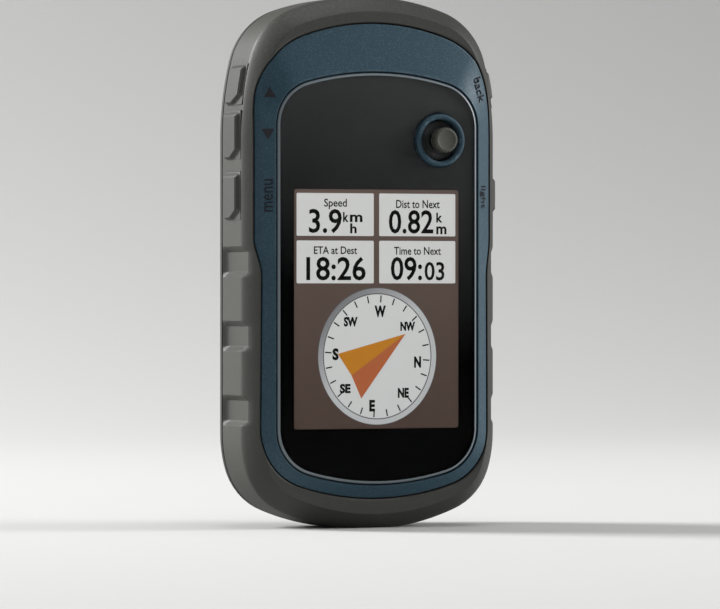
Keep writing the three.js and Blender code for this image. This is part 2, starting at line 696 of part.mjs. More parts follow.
addPiece('stick_shaft', rod(STICK_X, STICK_Z, SHAFT_RADIUS, SHAFT_TIP, SHAFT_FOOT), 'nickel');
addPiece('stick_rocker', turned(STICK_X, STICK_Z, [
  [SHAFT_RADIUS + GAP, STICK_PIVOT - ROCKER_THICK / 2],
  [ROCKER_RADIUS, STICK_PIVOT - ROCKER_THICK / 2],
  [ROCKER_RADIUS, STICK_PIVOT + ROCKER_THICK / 2],
  [SHAFT_RADIUS + GAP, STICK_PIVOT + ROCKER_THICK / 2],
]), 'inner');
addPiece('stick_gimbal', turned(STICK_X, STICK_Z, [
  [ROCKER_RADIUS + GAP, STICK_PIVOT - GIMBAL_THICK / 2],
  [GIMBAL_RADIUS, STICK_PIVOT - GIMBAL_THICK / 2],
  [GIMBAL_RADIUS, STICK_PIVOT + GIMBAL_THICK / 2],
  [ROCKER_RADIUS + GAP, STICK_PIVOT + GIMBAL_THICK / 2],
]), 'steel');
const switchHalf = SWITCH_BOX / 2;
addPiece('stick_switch', box(STICK_X - switchHalf, STICK_X + switchHalf, switchTop,
  BOARD_FRONT - GAP, STICK_Z - switchHalf, STICK_Z + switchHalf)
  .subtract(rod(STICK_X, STICK_Z, SWITCH_WELL, switchTop - PAST, SWITCH_FLOOR, ROUND_SIDES)),
'inner');

// ---------------------------------------------------------------- boards
const boardHoles = [
  ...CASE_SCREWS.map((s) => rod(s.x, s.z, BOSS + GAP, BOARD_FRONT - PAST, BOARD_BACK + PAST)),
  ...BOARD_SCREWS.map((s) => rod(s.x, s.z, POST_SHANK + GAP, BOARD_FRONT - PAST,
    BOARD_BACK + PAST, THIN_SIDES)),
];
addPiece('main_board', cut(slab(outline(BODY, BOARD_INSET), BOARD_FRONT, BOARD_BACK), boardHoles),
  'board');

/** Pressed shielding can, open towards the board it sits on. */
function shieldCan(spec, closedY, openY) {
  const y0 = Math.min(closedY, openY);
  const y1 = Math.max(closedY, openY);
  const into = Math.sign(openY - closedY);
  const hollow = [closedY + into * CAN_WALL, openY + into];
  const can = box(spec.x - spec.halfX, spec.x + spec.halfX, y0, y1,
    spec.z - spec.halfZ, spec.z + spec.halfZ);
  return can.subtract(box(spec.x - spec.halfX + CAN_WALL, spec.x + spec.halfX - CAN_WALL,
    Math.min(...hollow), Math.max(...hollow),
    spec.z - spec.halfZ + CAN_WALL, spec.z + spec.halfZ - CAN_WALL));
}
addPiece('processor_shield', shieldCan(PROCESSOR, PART_FRONT, BOARD_FRONT - GAP), 'nickel');
addPiece('radio_shield', shieldCan(RADIO, RADIO.back, BOARD_BACK + GAP), 'nickel');

const ceramicFront = PART_FRONT + ANTENNA_PATCH.raise;
addPiece('gps_antenna', box(ANTENNA.x - ANTENNA.half, ANTENNA.x + ANTENNA.half,
  ceramicFront, BOARD_FRONT - GAP, ANTENNA.z - ANTENNA.half, ANTENNA.z + ANTENNA.half)
  .add(box(ANTENNA.x - ANTENNA_PATCH.half, ANTENNA.x + ANTENNA_PATCH.half, PART_FRONT,
    ceramicFront + ANTENNA_PATCH.raise,
    ANTENNA.z - ANTENNA_PATCH.half, ANTENNA.z + ANTENNA_PATCH.half)), 'ceramic');
addPiece('buzzer', rod(BUZZER.x, BUZZER.z, BUZZER.radius, BOARD_BACK + GAP, BUZZER.back)
  .subtract(rod(BUZZER.x, BUZZER.z, BUZZER.hole, BUZZER.back - BUZZER.deep, BUZZER.back + PAST,
    THIN_SIDES)), 'inner');

const ioFront = IO_BOARD.back - IO_BOARD.thick;
addPiece('io_board', box(-IO_BOARD.half, IO_BOARD.half, ioFront, IO_BOARD.back,
  IO_BOARD.low, IO_BOARD.high), 'board');
addPiece('board_link', box(-LINK.half, LINK.half, BOARD_BACK + GAP, ioFront - GAP,
  LINK.low, LINK.high), 'inner');
addPiece('usb_port', box(-USB.half, USB.half, IO_BOARD.back + GAP, USB.back,
  USB.z - USB.halfZ, USB.z + USB.halfZ)
  .subtract(box(-USB.half + USB.wall, USB.half - USB.wall, USB.back - USB.deep, USB.back + PAST,
    USB.z - USB.halfZ + USB.wall, USB.z + USB.halfZ - USB.wall)), 'nickel');
const cardFront = BOARD_BACK + GAP;
const cardBack = cardFront + CARD.thick;
addPiece('card_slot', box(-CARD.halfX, CARD.halfX, cardFront, cardBack, CARD.low, CARD.high)
  .subtract(box(-CARD.halfX + CARD.wall, CARD.halfX - CARD.wall, cardFront + CARD.wall,
    cardBack - CARD.wall, CARD.low + CARD.wall, CARD.high + PAST)), 'nickel');

// ---------------------------------------------------------------- rear housing
/** Outline narrowed towards the back by several straight slopes. */
function taperedSlab(points, y0, y1, slopes) {
  return slopes
    .map(([size, start]) => crownedSlab(points, y0, y1, 1,
      { size, thick: y1 - REAR_START - start, segments: 1 }))
    .reduce((whole, piece) => whole.intersect(piece));
}
const rearOuter = taperedSlab(outline(BODY), REAR_START, BACK, REAR_SLOPES);
const rearCavity = taperedSlab(outline(BODY, HOUSING_WALL), REAR_START - PAST, REAR_INNER_BACK,
  CAVITY_SLOPES);
const bayFloorFront = BAY_FLOOR - BAY_FLOOR_THICK;
const bayTub = box(-BAY_HALF - BAY_WALL, BAY_HALF + BAY_WALL, bayFloorFront, LEDGE,
  BAY_LOW - BAY_WALL, BAY_HIGH + BAY_WALL);
const rimBlock = box(-RIM_BLOCK.half, RIM_BLOCK.half, RIM_BLOCK.front, LEDGE,
  RIM_BLOCK.low, RIM_BLOCK.high).intersect(rearOuter);
const rearBosses = CASE_SCREWS.flatMap((s) => [
  rod(s.x, s.z, BOSS, REAR_START, HEAD_FLOOR),
  rod(s.x, s.z, BOSS_WIDE, BOSS_WIDE_START, REAR_INNER_BACK + SINK).intersect(rearOuter),
]);
const bay = slab(roundRect(-BAY_HALF, BAY_HALF, BAY_LOW, BAY_HIGH, BAY_CORNER), BAY_FLOOR, BACK);
const cardWindow = box(-CARD.halfX - GAP, CARD.halfX + GAP, bayFloorFront - PAST, BAY_FLOOR + PAST,
  CARD.low - GAP, CARD.high + GAP);
const coverRecess = slab(roundRect(-COVER_HALF - GAP, COVER_HALF + GAP, COVER_LOW - GAP,
  COVER_HIGH + COVER_TOP_AIR, COVER_CORNER + GAP, COVER_STEPS), LEDGE, BACK + PAST);
const sealOuter = SEAL_RING.inner + SEAL_RING.wide;
const sealGroove = (grow, y0, y1) => (
  slab(roundRect(-sealOuter - grow, sealOuter + grow, SEAL_RING.low - grow,
    SEAL_RING.high + grow, SEAL_RING.corner + grow), y0, y1)
    .subtract(slab(roundRect(-SEAL_RING.inner + grow, SEAL_RING.inner - grow,
      SEAL_RING.low + SEAL_RING.wide + grow, SEAL_RING.high - SEAL_RING.wide - grow,
      SEAL_RING.corner - SEAL_RING.wide - grow), y0 - PAST, y1 + PAST)));
const tabPockets = [-1, 1].map((side) => box(
  side * TAB_X - TAB_HALF - TAB_POCKET.air, side * TAB_X + TAB_HALF + TAB_POCKET.air,
  TAB_POCKET.front, TAB_POCKET.back, COVER_HIGH - PAST, TAB_POCKET.high));
const keeperPocket = box(KEEPER.left, KEEPER.right, TONGUE_FRONT - KEEPER.deep, LEDGE + PAST,
  KEEPER.low, BAY_LOW + PAST);
const flapRecess = slab(roundRect(-FLAP_HALF - GAP, FLAP_HALF + GAP, FLAP_LOW - GAP - PULL.drop,
  FLAP_HIGH + GAP, FLAP_CORNER + GAP), COVER_INNER - GAP, BACK + PAST);
const plugFloor = COVER_INNER - PLUG.deep - GAP;
const plugRecess = box(-PLUG.half - PLUG.air, PLUG.half + PLUG.air, plugFloor, BACK,
  PLUG.low - PLUG.air, PLUG.high + GAP);
const usbOpening = box(-USB.half - GAP, USB.half + GAP, RIM_BLOCK.front - PAST, BACK,
  USB.z - USB.halfZ - GAP, USB.z + USB.halfZ + GAP);
const rearBores = CASE_SCREWS.flatMap((s) => [
  rod(s.x, s.z, SCREW_SHANK + GAP, REAR_START - PAST, BACK, THIN_SIDES),
  rod(s.x, s.z, HEAD_RADIUS + GAP, HEAD_FLOOR, BACK + PAST),
]);
const rearShell = unite([rearOuter.subtract(rearCavity), bayTub, rimBlock, ...rearBosses]);
addPiece('rear_housing', cut(rearShell, [
  bay, cardWindow, coverRecess, sealGroove(GAP, LEDGE - SEAL_RING.depth - GAP, LEDGE + PAST),
  ...tabPockets, keeperPocket, flapRecess, plugRecess, usbOpening, ...rearBores, baseTrim,
]), 'rear');
addPiece('case_seal', slab(outline(BODY, CASE_SEAL.outer), CASE_SEAL.front, CASE_SEAL.back)
  .subtract(slab(outline(BODY, CASE_SEAL.inner), CASE_SEAL.front - PAST, CASE_SEAL.back + PAST)),
'rubber');
addPiece('cover_seal', sealGroove(0, LEDGE - SEAL_RING.depth, LEDGE), 'rubber');

// ---------------------------------------------------------------- cells and contacts
const lowContact = BAY_LOW + GAP;
const highContact = BAY_HIGH - GAP - CONTACT_THICK;
const lowSeat = lowContact + CONTACT_THICK + GAP;
const highSeat = highContact - GAP;

/** A cell along Z. With up = 1 its nub points up. */
function cell(x, z, up) {
  const profile = [
    [0, 0],
    [CELL_RADIUS - CELL_EDGE, 0],
    [CELL_RADIUS, CELL_EDGE],
    [CELL_RADIUS, CELL_LENGTH - CELL_NUB - CELL_EDGE],
    [CELL_RADIUS - CELL_EDGE, CELL_LENGTH - CELL_NUB],
    [CELL_NUB_RADIUS, CELL_LENGTH - CELL_NUB],
    [CELL_NUB_RADIUS, CELL_LENGTH],
    [0, CELL_LENGTH],
  ].map(([r, y]) => new THREE.Vector2(r, y));
  const geometry = new THREE.LatheGeometry(profile, ROUND_SIDES);
  geometry.rotateX(Math.PI / 2 * up);
  geometry.translate(x, CELL_Y, z);
  return solid(geometry);
}
addPiece('battery_left', cell(-CELL_X, highSeat - CELL_LENGTH, 1), 'cell');
addPiece('battery_right', cell(CELL_X, lowSeat + CELL_LENGTH, -1), 'cell');

class SpringPath extends THREE.Curve {
  constructor(up) {
    super();
    this.up = up;
  }

  getPoint(t, target = new THREE.Vector3()) {
    const angle = 2 * Math.PI * SPRING_TURNS * t;
    const radius = SPRING_WIDE + (SPRING_NARROW - SPRING_WIDE) * t;
    const rise = SPRING_WIRE + (SPRING_LENGTH - 2 * SPRING_WIRE) * t;
    return target.set(radius * Math.cos(angle), radius * Math.sin(angle), this.up * rise);
  }
}

function batterySpring(x, z, up) {
  const section = new THREE.Shape();
  section.absarc(0, 0, SPRING_WIRE, 0, 2 * Math.PI, false);
  const geometry = new THREE.ExtrudeGeometry(section, {
    steps: THIN_SIDES * SPRING_TURNS,
    extrudePath: new SpringPath(up),
    curveSegments: 3,
    bevelEnabled: false,
  });
  geometry.translate(x, CELL_Y, z);
  return solid(geometry);
}
addPiece('battery_spring_left', batterySpring(-CELL_X, lowSeat, 1), 'steel');
addPiece('battery_spring_right', batterySpring(CELL_X, highSeat, -1), 'steel');

function contactPlate(x0, x1, z) {
  return box(x0, x1, CELL_Y - CONTACT_HALF, CELL_Y + CONTACT_HALF, z, z + CONTACT_THICK);
}
addPiece('contact_left', contactPlate(-CELL_X - CONTACT_HALF, -CELL_X + CONTACT_HALF, lowContact),
  'nickel');
addPiece('contact_right', contactPlate(CELL_X - CONTACT_HALF, CELL_X + CONTACT_HALF, lowContact),
  'nickel');
addPiece('contact_bridge', contactPlate(-CELL_X - CONTACT_HALF, CELL_X + CONTACT_HALF,
  highContact), 'nickel');

// ---------------------------------------------------------------- battery cover
const coverPlate = crownedSlab(roundRect(-COVER_HALF, COVER_HALF, COVER_LOW, COVER_HIGH,
  COVER_CORNER, COVER_STEPS), COVER_INNER, BACK, 1,
  { size: COVER_EDGE, thick: COVER_EDGE, segments: 1 });
const coverTabs = [-1, 1].map((side) => box(side * TAB_X - TAB_HALF, side * TAB_X + TAB_HALF,
  COVER_INNER, COVER_INNER + TAB_THICK, COVER_HIGH - PAST, COVER_HIGH + TAB_REACH));
const coverHoles = [
  rod(0, LATCH_Z, HUB_RADIUS + GAP, COVER_INNER - PAST, BACK + PAST, ROUND_SIDES),
  ...SPINE_SCREWS.map((z) => rod(0, z, SPINE_SCREW.shank + GAP, COVER_INNER - PAST, BACK + PAST,
    THIN_SIDES)),
];
addPiece('battery_cover', cut(unite([coverPlate, ...coverTabs]), coverHoles), 'rear');

const spineRail = box(-SPINE.head, SPINE.head, SPINE.neckBack, SPINE.back, SPINE.low, SPINE.high)
  .add(box(-SPINE.foot, SPINE.foot, BACK + GAP, SPINE.back, SPINE.low, SPINE.high));
const spineStop = box(-SPINE.head - PAST, SPINE.head + PAST, SPINE.back - SPINE_STOP.depth,
  SPINE.back + PAST, SPINE_STOP.low, SPINE_STOP.high);
const spineBores = SPINE_SCREWS.flatMap((z) => [
  rod(0, z, SPINE_SCREW.shank + GAP, BACK, SPINE.back + PAST, THIN_SIDES),
  rod(0, z, SPINE_SCREW.head + GAP, SPINE.back - SPINE_SCREW.headThick - GAP,
    SPINE.back + PAST),
]);
addPiece('mounting_spine', cut(spineRail, [spineStop, ...spineBores]), 'rear');
['spine_screw_bottom', 'spine_screw_top'].forEach((name, i) => {
  const z = SPINE_SCREWS[i];
  const headFront = SPINE.back - SPINE_SCREW.headThick;
  addPiece(name, rod(0, z, SPINE_SCREW.head, headFront, SPINE.back)
    .add(rod(0, z, SPINE_SCREW.shank, SPINE_SCREW.foot, headFront, THIN_SIDES))
    .subtract(rod(0, z, DRIVE_RADIUS, SPINE.back - DRIVE_DEEP / 2, SPINE.back + PAST, HEX)),
  'steel');
});

// ---------------------------------------------------------------- latch
const lug = box(-LUG_HALF, LUG_HALF, DISC_BACK - SINK, SPINE.back, LATCH_Z - LUG_HEIGHT,
  LATCH_Z + LUG_HEIGHT);
const pivotBar = (radius, reach) => {
  const geometry = new THREE.CylinderGeometry(radius, radius, 2 * reach, THIN_SIDES);
  geometry.rotateZ(Math.PI / 2);
  geometry.translate(0, RING_Y, LATCH_Z);
  return solid(geometry);
};
addPiece('latch_disc', unite([
  rod(0, LATCH_Z, DISC_RADIUS, BACK + GAP, DISC_BACK, ROUND_SIDES),
  rod(0, LATCH_Z, HUB_RADIUS, HUB_FRONT, DISC_BACK, ROUND_SIDES),
  lug,
]).subtract(pivotBar(RING_HOLE, LUG_HALF + PAST)), 'inner');

class RingPath extends THREE.Curve {
  getPoint(t, target = new THREE.Vector3()) {
    const angle = Math.PI - RING_OVERLAP + (Math.PI + 2 * RING_OVERLAP) * t;
    return target.set(RING_RADIUS * Math.cos(angle), RING_Y,
      LATCH_Z + RING_RADIUS * Math.sin(angle));
  }
}
const ringSection = new THREE.Shape();
ringSection.absarc(0, 0, RING_WIRE, 0, 2 * Math.PI, false);
const ringBow = new THREE.ExtrudeGeometry(ringSection, {
  steps: 16,
  extrudePath: new RingPath(),
  curveSegments: 5,
  bevelEnabled: false,
});
addPiece('d_ring', solid(ringBow).add(pivotBar(RING_BAR, RING_RADIUS)), 'steel');
const tongueBack = TONGUE_FRONT + TONGUE_THICK;
addPiece('latch_tongue', cut(unite([
  rod(0, LATCH_Z, TONGUE.outer, TONGUE_FRONT, tongueBack, ROUND_SIDES),
  box(-TONGUE.half, TONGUE.half, TONGUE_FRONT, tongueBack, LATCH_Z - TONGUE.reach, LATCH_Z),
]), [
  rod(0, LATCH_Z, HUB_RADIUS + GAP, TONGUE_FRONT - PAST, tongueBack + PAST, ROUND_SIDES),
]), 'steel');
const retainerBack = HUB_FRONT - GAP;
addPiece('latch_retainer', rod(0, LATCH_Z, RETAINER.radius, retainerBack - RETAINER.thick,
  retainerBack), 'steel');

// ---------------------------------------------------------------- weather cap
const flapPull = box(-PULL.half, PULL.half, BACK - PULL.thick, BACK, FLAP_LOW - PULL.drop,
  FLAP_LOW + PAST);
addPiece('weather_cap', unite([
  crownedSlab(roundRect(-FLAP_HALF, FLAP_HALF, FLAP_LOW, FLAP_HIGH, FLAP_CORNER),
    COVER_INNER, BACK, 1, { size: COVER_EDGE, thick: COVER_EDGE, segments: 1 }),
  box(-PLUG.half, PLUG.half, COVER_INNER - PLUG.deep, COVER_INNER + SINK, PLUG.low, PLUG.high),
  flapPull,
]), 'rubber');

// ---------------------------------------------------------------- fasteners
for (const s of CASE_SCREWS) {
  const headFront = HEAD_FLOOR + GAP;
  const headBack = headFront + HEAD_THICK;
  addPiece(s.name, rod(s.x, s.z, HEAD_RADIUS, headFront, headBack)
    .add(rod(s.x, s.z, SCREW_SHANK, SCREW_TIP, headFront, THIN_SIDES))
    .subtract(rod(s.x, s.z, DRIVE_RADIUS, headBack - DRIVE_DEEP, headBack + PAST, HEX)), 'steel');
}
for (const s of BOARD_SCREWS) {
  const headFront = BOARD_BACK + GAP;
  const headBack = headFront + POST_HEAD_THICK;
  addPiece(s.name, rod(s.x, s.z, POST_HEAD, headFront, headBack)
    .add(rod(s.x, s.z, POST_SHANK, POST_TIP, headFront, THIN_SIDES))
    .subtract(rod(s.x, s.z, POST_SHANK, headBack - DRIVE_DEEP / 2, headBack + PAST, HEX)), 'steel');
}

export default unit;
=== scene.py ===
# %% [markdown]
# # Handheld GPS unit
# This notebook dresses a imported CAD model. The frame holds every solid and every
# moving body. Solids that show, such as the shells and the keys, are made again
# as fine smooth surfaces that stand for them, and hidden ones only get a material.

# %% Load the frame
import json
import math

import bpy
import numpy as np
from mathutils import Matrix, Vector


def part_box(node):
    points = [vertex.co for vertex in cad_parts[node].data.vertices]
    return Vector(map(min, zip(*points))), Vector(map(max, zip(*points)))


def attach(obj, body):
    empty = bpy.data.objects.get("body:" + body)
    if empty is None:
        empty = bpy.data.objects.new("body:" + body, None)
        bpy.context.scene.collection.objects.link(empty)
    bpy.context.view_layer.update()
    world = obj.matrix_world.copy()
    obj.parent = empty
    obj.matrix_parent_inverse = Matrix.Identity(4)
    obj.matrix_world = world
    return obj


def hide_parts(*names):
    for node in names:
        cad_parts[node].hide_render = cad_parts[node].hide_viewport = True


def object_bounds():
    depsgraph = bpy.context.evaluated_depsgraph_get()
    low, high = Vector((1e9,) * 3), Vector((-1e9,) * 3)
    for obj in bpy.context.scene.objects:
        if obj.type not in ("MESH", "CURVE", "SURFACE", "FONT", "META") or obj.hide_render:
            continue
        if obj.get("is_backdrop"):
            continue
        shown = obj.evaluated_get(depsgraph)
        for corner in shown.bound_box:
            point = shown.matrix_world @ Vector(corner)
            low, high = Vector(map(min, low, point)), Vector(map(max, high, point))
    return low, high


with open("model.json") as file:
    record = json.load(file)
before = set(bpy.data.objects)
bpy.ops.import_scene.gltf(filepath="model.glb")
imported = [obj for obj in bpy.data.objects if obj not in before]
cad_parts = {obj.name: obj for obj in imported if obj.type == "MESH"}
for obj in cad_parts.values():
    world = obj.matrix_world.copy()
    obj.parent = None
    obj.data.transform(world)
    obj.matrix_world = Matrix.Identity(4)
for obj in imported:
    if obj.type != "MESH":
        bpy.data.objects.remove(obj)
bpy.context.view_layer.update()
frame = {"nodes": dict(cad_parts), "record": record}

MM = 0.001

# %% [markdown]
# Sizes come from the boxes of the CAD nodes, in millimetres here because the
# pieces are small. Only the radii of the outlines are written out, since a box
# doesn't say how a corner is rounded.

# %% Sizes read from the frame


def box_mm(node):
    """Lowest and highest corner of a CAD node, in millimetres."""
    low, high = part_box(node)
    return np.array(low) / MM, np.array(high) / MM


front_low, front_high = box_mm("front_housing")
face_low, face_high = box_mm("face_plate")
window_low, window_high = box_mm("display_window")
GAP = 0.3
HALF, PARTING, TOP = front_high
BACK = box_mm("rear_housing")[1][1]
print("half width", round(float(HALF), 2), "height", round(float(TOP), 2))

# %% [markdown]
# The camera stands a metre away with a long lens, a little to the left of the
# display and level with the middle of the unit, so upright edges stay upright.

# %% Camera
AZIMUTH = math.radians(-23.4)
DISTANCE = 980
EYE_HEIGHT = 46.06
AIM_DEPTH = 0.8
camera_data = bpy.data.cameras.new("camera")
camera_data.lens = 251.4
camera_data.sensor_width = 36
camera_data.shift_x = 0.0147222
camera_data.shift_y = -0.0215278
camera = bpy.data.objects.new("camera", camera_data)
camera.location = (math.sin(AZIMUTH) * DISTANCE * MM,
                   (AIM_DEPTH - math.cos(AZIMUTH) * DISTANCE) * MM, EYE_HEIGHT * MM)
camera.rotation_euler = (math.pi / 2, 0, AZIMUTH)
bpy.context.scene.collection.objects.link(camera)
bpy.context.scene.camera = camera
bpy.context.scene.view_settings.view_transform = "Standard"
print("camera at", [round(v, 3) for v in camera.location])

# %% [markdown]
# ## Surfaces from rings
# Nearly every piece here is a stack of rings. A ring is one closed line of
# points, and faces join each ring to the next. Given as one array, a whole stack
# becomes a mesh without a loop over its points.

# %% Rings to a mesh


def linked(name, data):
    """New object in the scene that holds a mesh, a curve or a lamp."""
    made = bpy.data.objects.new(name, data)
    bpy.context.scene.collection.objects.link(made)
    return made


def read_points(mesh):
    """Corners of a mesh as an (n, 3) array in millimetres."""
    flat = np.empty(len(mesh.vertices) * 3)
    mesh.vertices.foreach_get("co", flat)
    return flat.reshape(-1, 3) / MM


def write_points(mesh, points):
    """Move a mesh's corners to places in millimetres."""
    mesh.vertices.foreach_set("co", (points * MM).ravel())
    mesh.update()


def finish_edges(piece, sharp=32):
    """Smooth shading, with crisp edges where faces meet past an angle."""
    mesh = piece.data
    mesh.polygons.foreach_set("use_smooth", np.ones(len(mesh.polygons), bool))
    mesh.set_sharp_from_angle(angle=math.radians(sharp))
    return piece


def belong(piece, body, node=None):
    """Ride a body, and stand for a CAD node if one is named."""
    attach(piece, body)
    if node:
        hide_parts(node)
    return piece


def stack(rings, closed=False):
    """Faces of a stack of rings: quads between neighbours, flat ends or a loop.

    rings is (rows, columns, 3). The stack closes on itself when closed is true,
    and otherwise ends in one flat face each way. The winding is turned round
    when the enclosed volume comes out negative.
    """
    rings = np.asarray(rings, float)
    rows, columns = rings.shape[:2]
    number = np.arange(rows * columns).reshape(rows, columns)
    here = number if closed else number[:-1]
    there = np.roll(number, -1, 0) if closed else number[1:]
    quads = np.stack([here, np.roll(here, -1, 1), np.roll(there, -1, 1), there], -1)
    quads = quads.reshape(-1, 4)
    points = rings.reshape(-1, 3)
    middle = points.mean(0)
    a, b, c, d = (points[quads[:, k]] - middle for k in range(4))
    volume = np.einsum("ij,ij->", a, np.cross(b, c)) + np.einsum("ij,ij->", a, np.cross(c, d))
    faces = quads.tolist()
    if not closed:
        for ring, turn in ((number[0], -1), (number[-1], 1)):
            corners = points[ring] - middle
            spread = np.cross(corners, np.roll(corners, -1, 0)).sum(0)
            volume += turn * float(spread @ corners.mean(0))
        faces += [number[0][::-1].tolist(), number[-1].tolist()]
    if volume < 0:
        faces = [face[::-1] for face in faces]
    return points, faces


def ring_piece(name, rings, closed=False, sharp=32):
    """A piece made of a stack of rings."""
    points, faces = stack(rings, closed)
    mesh = bpy.data.meshes.new(name)
    mesh.from_pydata((points * MM).tolist(), [], faces)
    mesh.update()
    return finish_edges(linked(name, mesh), sharp)


def carve(piece, cutters, operation="DIFFERENCE"):
    """Cut or join closed pieces, keep the result as the piece's mesh."""
    for cutter in cutters:
        change = piece.modifiers.new("change", "BOOLEAN")
        change.operation = operation
        change.solver = "EXACT"
        change.object = cutter
        graph = bpy.context.evaluated_depsgraph_get()
        made = bpy.data.meshes.new_from_object(piece.evaluated_get(graph))
        piece.modifiers.clear()
        piece.data = made
        bpy.data.objects.remove(cutter)
    return piece


# %% [markdown]
# ## Outlines
# The body, the face plate and the window share one kind of outline: a broad crown
# arc at each end, a tighter corner arc and a long shoulder arc, all tangent. An
# inset shrinks every radius by the same amount, so insets run parallel.

# %% Outlines of arcs
# Each end is its apex, crown radius, crown angle, corner radius and shoulder radius.
BODY = dict(half=HALF, top=(TOP, 48.7, 19, 13.8, 64.8), bottom=(-0.4, 47.5, 23, 12.4, 23.6))
FACE = dict(half=face_high[0], lower=23.45, step=(48.6, 55.8),
            top=(face_high[2], 44.4, 19.9, 14.2, 30.2),
            bottom=(face_low[2], 51.9, 17.8, 11.2, None))
WINDOW = dict(half=window_high[0], top=(window_high[2], 55.5, 15.3, 8.5, None),
              bottom=(window_low[2], 52.7, 15.9, 8.9, None))


def end_line(half, end, inset, steps=160):
    """One end of an outline from the middle to the side, as x and rise.

    Each arc is centre + radius * (sin, cos) of an angle from the middle line.
    The next arc's centre lies on the line from this one's centre to its end.
    """
    apex, crown, angle, corner, shoulder = end
    first = math.radians(angle)
    crown, corner = crown - inset, corner - inset
    last = math.pi / 2
    if shoulder:
        shoulder -= inset
        last = math.asin((half - inset - shoulder - (crown - corner) * math.sin(first))
                         / (corner - shoulder))
    centre = np.array([0.0, apex - inset - crown])
    parts, radius, start = [], crown, 0.0
    for nxt, stop in ((corner, first), (shoulder, last), (None, math.pi / 2)):
        if radius is None:
            break
        turn = np.linspace(start, stop, steps)[:, None]
        parts.append(centre + radius * np.hstack([np.sin(turn), np.cos(turn)]))
        if nxt:
            centre = centre + (radius - nxt) * np.array([math.sin(stop), math.cos(stop)])
        radius, start = nxt, stop
    return np.vstack(parts)


def right_side(spec, inset):
    """The outline's right half, from the bottom of the middle line to its top."""
    apex = (-spec["bottom"][0],) + tuple(spec["bottom"][1:])
    low = end_line(spec.get("lower", spec["half"]), apex, inset) * [1, -1]
    high = end_line(spec["half"], spec["top"], inset)[::-1]
    parts = [low]
    if "step" in spec:
        t = np.linspace(0, 1, 40)
        blend = t * t * (3 - 2 * t)
        x = spec["lower"] + (spec["half"] - spec["lower"]) * blend - inset
        z = spec["step"][0] + (spec["step"][1] - spec["step"][0]) * t
        parts.append(np.stack([x, z], 1))
    parts.append(high)
    return np.vstack(parts)


def even(points, count):
    """count points at equal spacing along a line of points."""
    length = np.r_[0, np.cumsum(np.hypot(*np.diff(points, axis=0).T))]
    at = np.linspace(0, length[-1], count)
    return np.stack([np.interp(at, length, points[:, k]) for k in (0, 1)], 1)


def outline(spec, inset, heights, ends=26):
    """Closed ring of x and z. Columns on the side sit at the given heights.

    Below the first height and above the last, points are evenly spaced, so the
    rings of two outlines match column by column. The left half mirrors it.
    """
    line = right_side(spec, inset)
    keep = np.r_[True, np.diff(line[:, 1]) > 1e-9]
    line = line[keep]
    side = np.stack([np.interp(heights, line[:, 1], line[:, 0]), heights], 1)
    low = np.vstack([line[line[:, 1] < heights[0]], side[:1]])
    high = np.vstack([side[-1:], line[line[:, 1] > heights[-1]]])
    right = np.vstack([even(low, ends)[:-1], side, even(high, ends)[1:]])
    left = (right[1:-1] * [-1, 1])[::-1]
    return np.vstack([right, left])


def at_depth(ring, depth):
    """A ring of x and z placed at a depth, which may differ along it."""
    depth = np.broadcast_to(depth, len(ring))
    return np.stack([ring[:, 0], depth, ring[:, 1]], 1)


def soften(corners, radius, steps=5):
    """A bent line with each inner corner rounded by a quadratic curve."""
    corners = np.asarray(corners, float)
    out = [corners[:1]]
    for before, corner, after in zip(corners[:-2], corners[1:-1], corners[2:]):
        reach = [min(radius, 0.45 * np.linalg.norm(p - corner)) for p in (before, after)]
        start = corner + (before - corner) / np.linalg.norm(before - corner) * reach[0]
        stop = corner + (after - corner) / np.linalg.norm(after - corner) * reach[1]
        t = np.linspace(0, 1, steps)[:, None]
        out.append((1 - t) ** 2 * start + 2 * t * (1 - t) * corner + t * t * stop)
    out.append(corners[-1:])
    return np.vstack(out)


print("body outline", len(outline(BODY, 0, np.linspace(20, 90, 30))), "points")

# %% [markdown]
# ## Front housing
# The grey shell is one moulding: flat sides that bulge slightly, a chamfer
# round the front, three grip notches a side and a pocket for the face plate. It is
# one stack of rings, from the parting line over the side, the chamfer and the rim,
# into the pocket and back along the inside. The notches are where the rings are
# pushed inwards, so columns are crowded at their edges. The key windows are cut
# with the side keys, further on.

# %% Front housing
SIDE_FRONT = -8.6
RIM_FRONT = front_low[1]
CHAMFER, CHAMFER_FULLNESS = 3.1, 0.22
NOTCH_FADE = 1.7
NOTCHES = (19.7, 33.95, 48.2)
NOTCH_HEIGHT, NOTCH_RAMP, NOTCH_DEPTH = 6.1, 1.2, 1.0
KEYS = ("zoom_in_key", "zoom_out_key", "menu_key", "back_key", "light_key")
KEY_HEIGHTS = {"zoom_in_key": (81.6, 89.0), "zoom_out_key": (71.2, 80.0),
               "menu_key": (59.6, 68.3), "back_key": (81.6, 88.8), "light_key": (59.9, 67.9)}
KEY_FRONT, KEY_BACK = -8.0, -1.2


def crowd(low, high, spacing, edges, near=0.07):
    """Even steps plus a close pair of steps at each edge."""
    steps = np.arange(low, high, spacing)
    pairs = np.ravel([[e - near, e, e + near] for e in edges if low < e < high])
    return np.unique(np.round(np.r_[steps, pairs, high], 4))


notch_edges = [e + d for e in NOTCHES for d in (0, NOTCH_RAMP, NOTCH_HEIGHT - NOTCH_RAMP,
                                                NOTCH_HEIGHT)]
HEIGHTS = crowd(19.6, 90.0, 0.55, notch_edges)


def notch_depth(z):
    """How deep a grip notch is at a height: a ramp down, a floor and a ramp up."""
    depth = np.zeros_like(z)
    for low in NOTCHES:
        inward = np.minimum(z - low, low + NOTCH_HEIGHT - z)
        t = np.clip(inward / NOTCH_RAMP, 0, 1)
        depth = np.maximum(depth, NOTCH_DEPTH * t * t * (3 - 2 * t))
    return depth


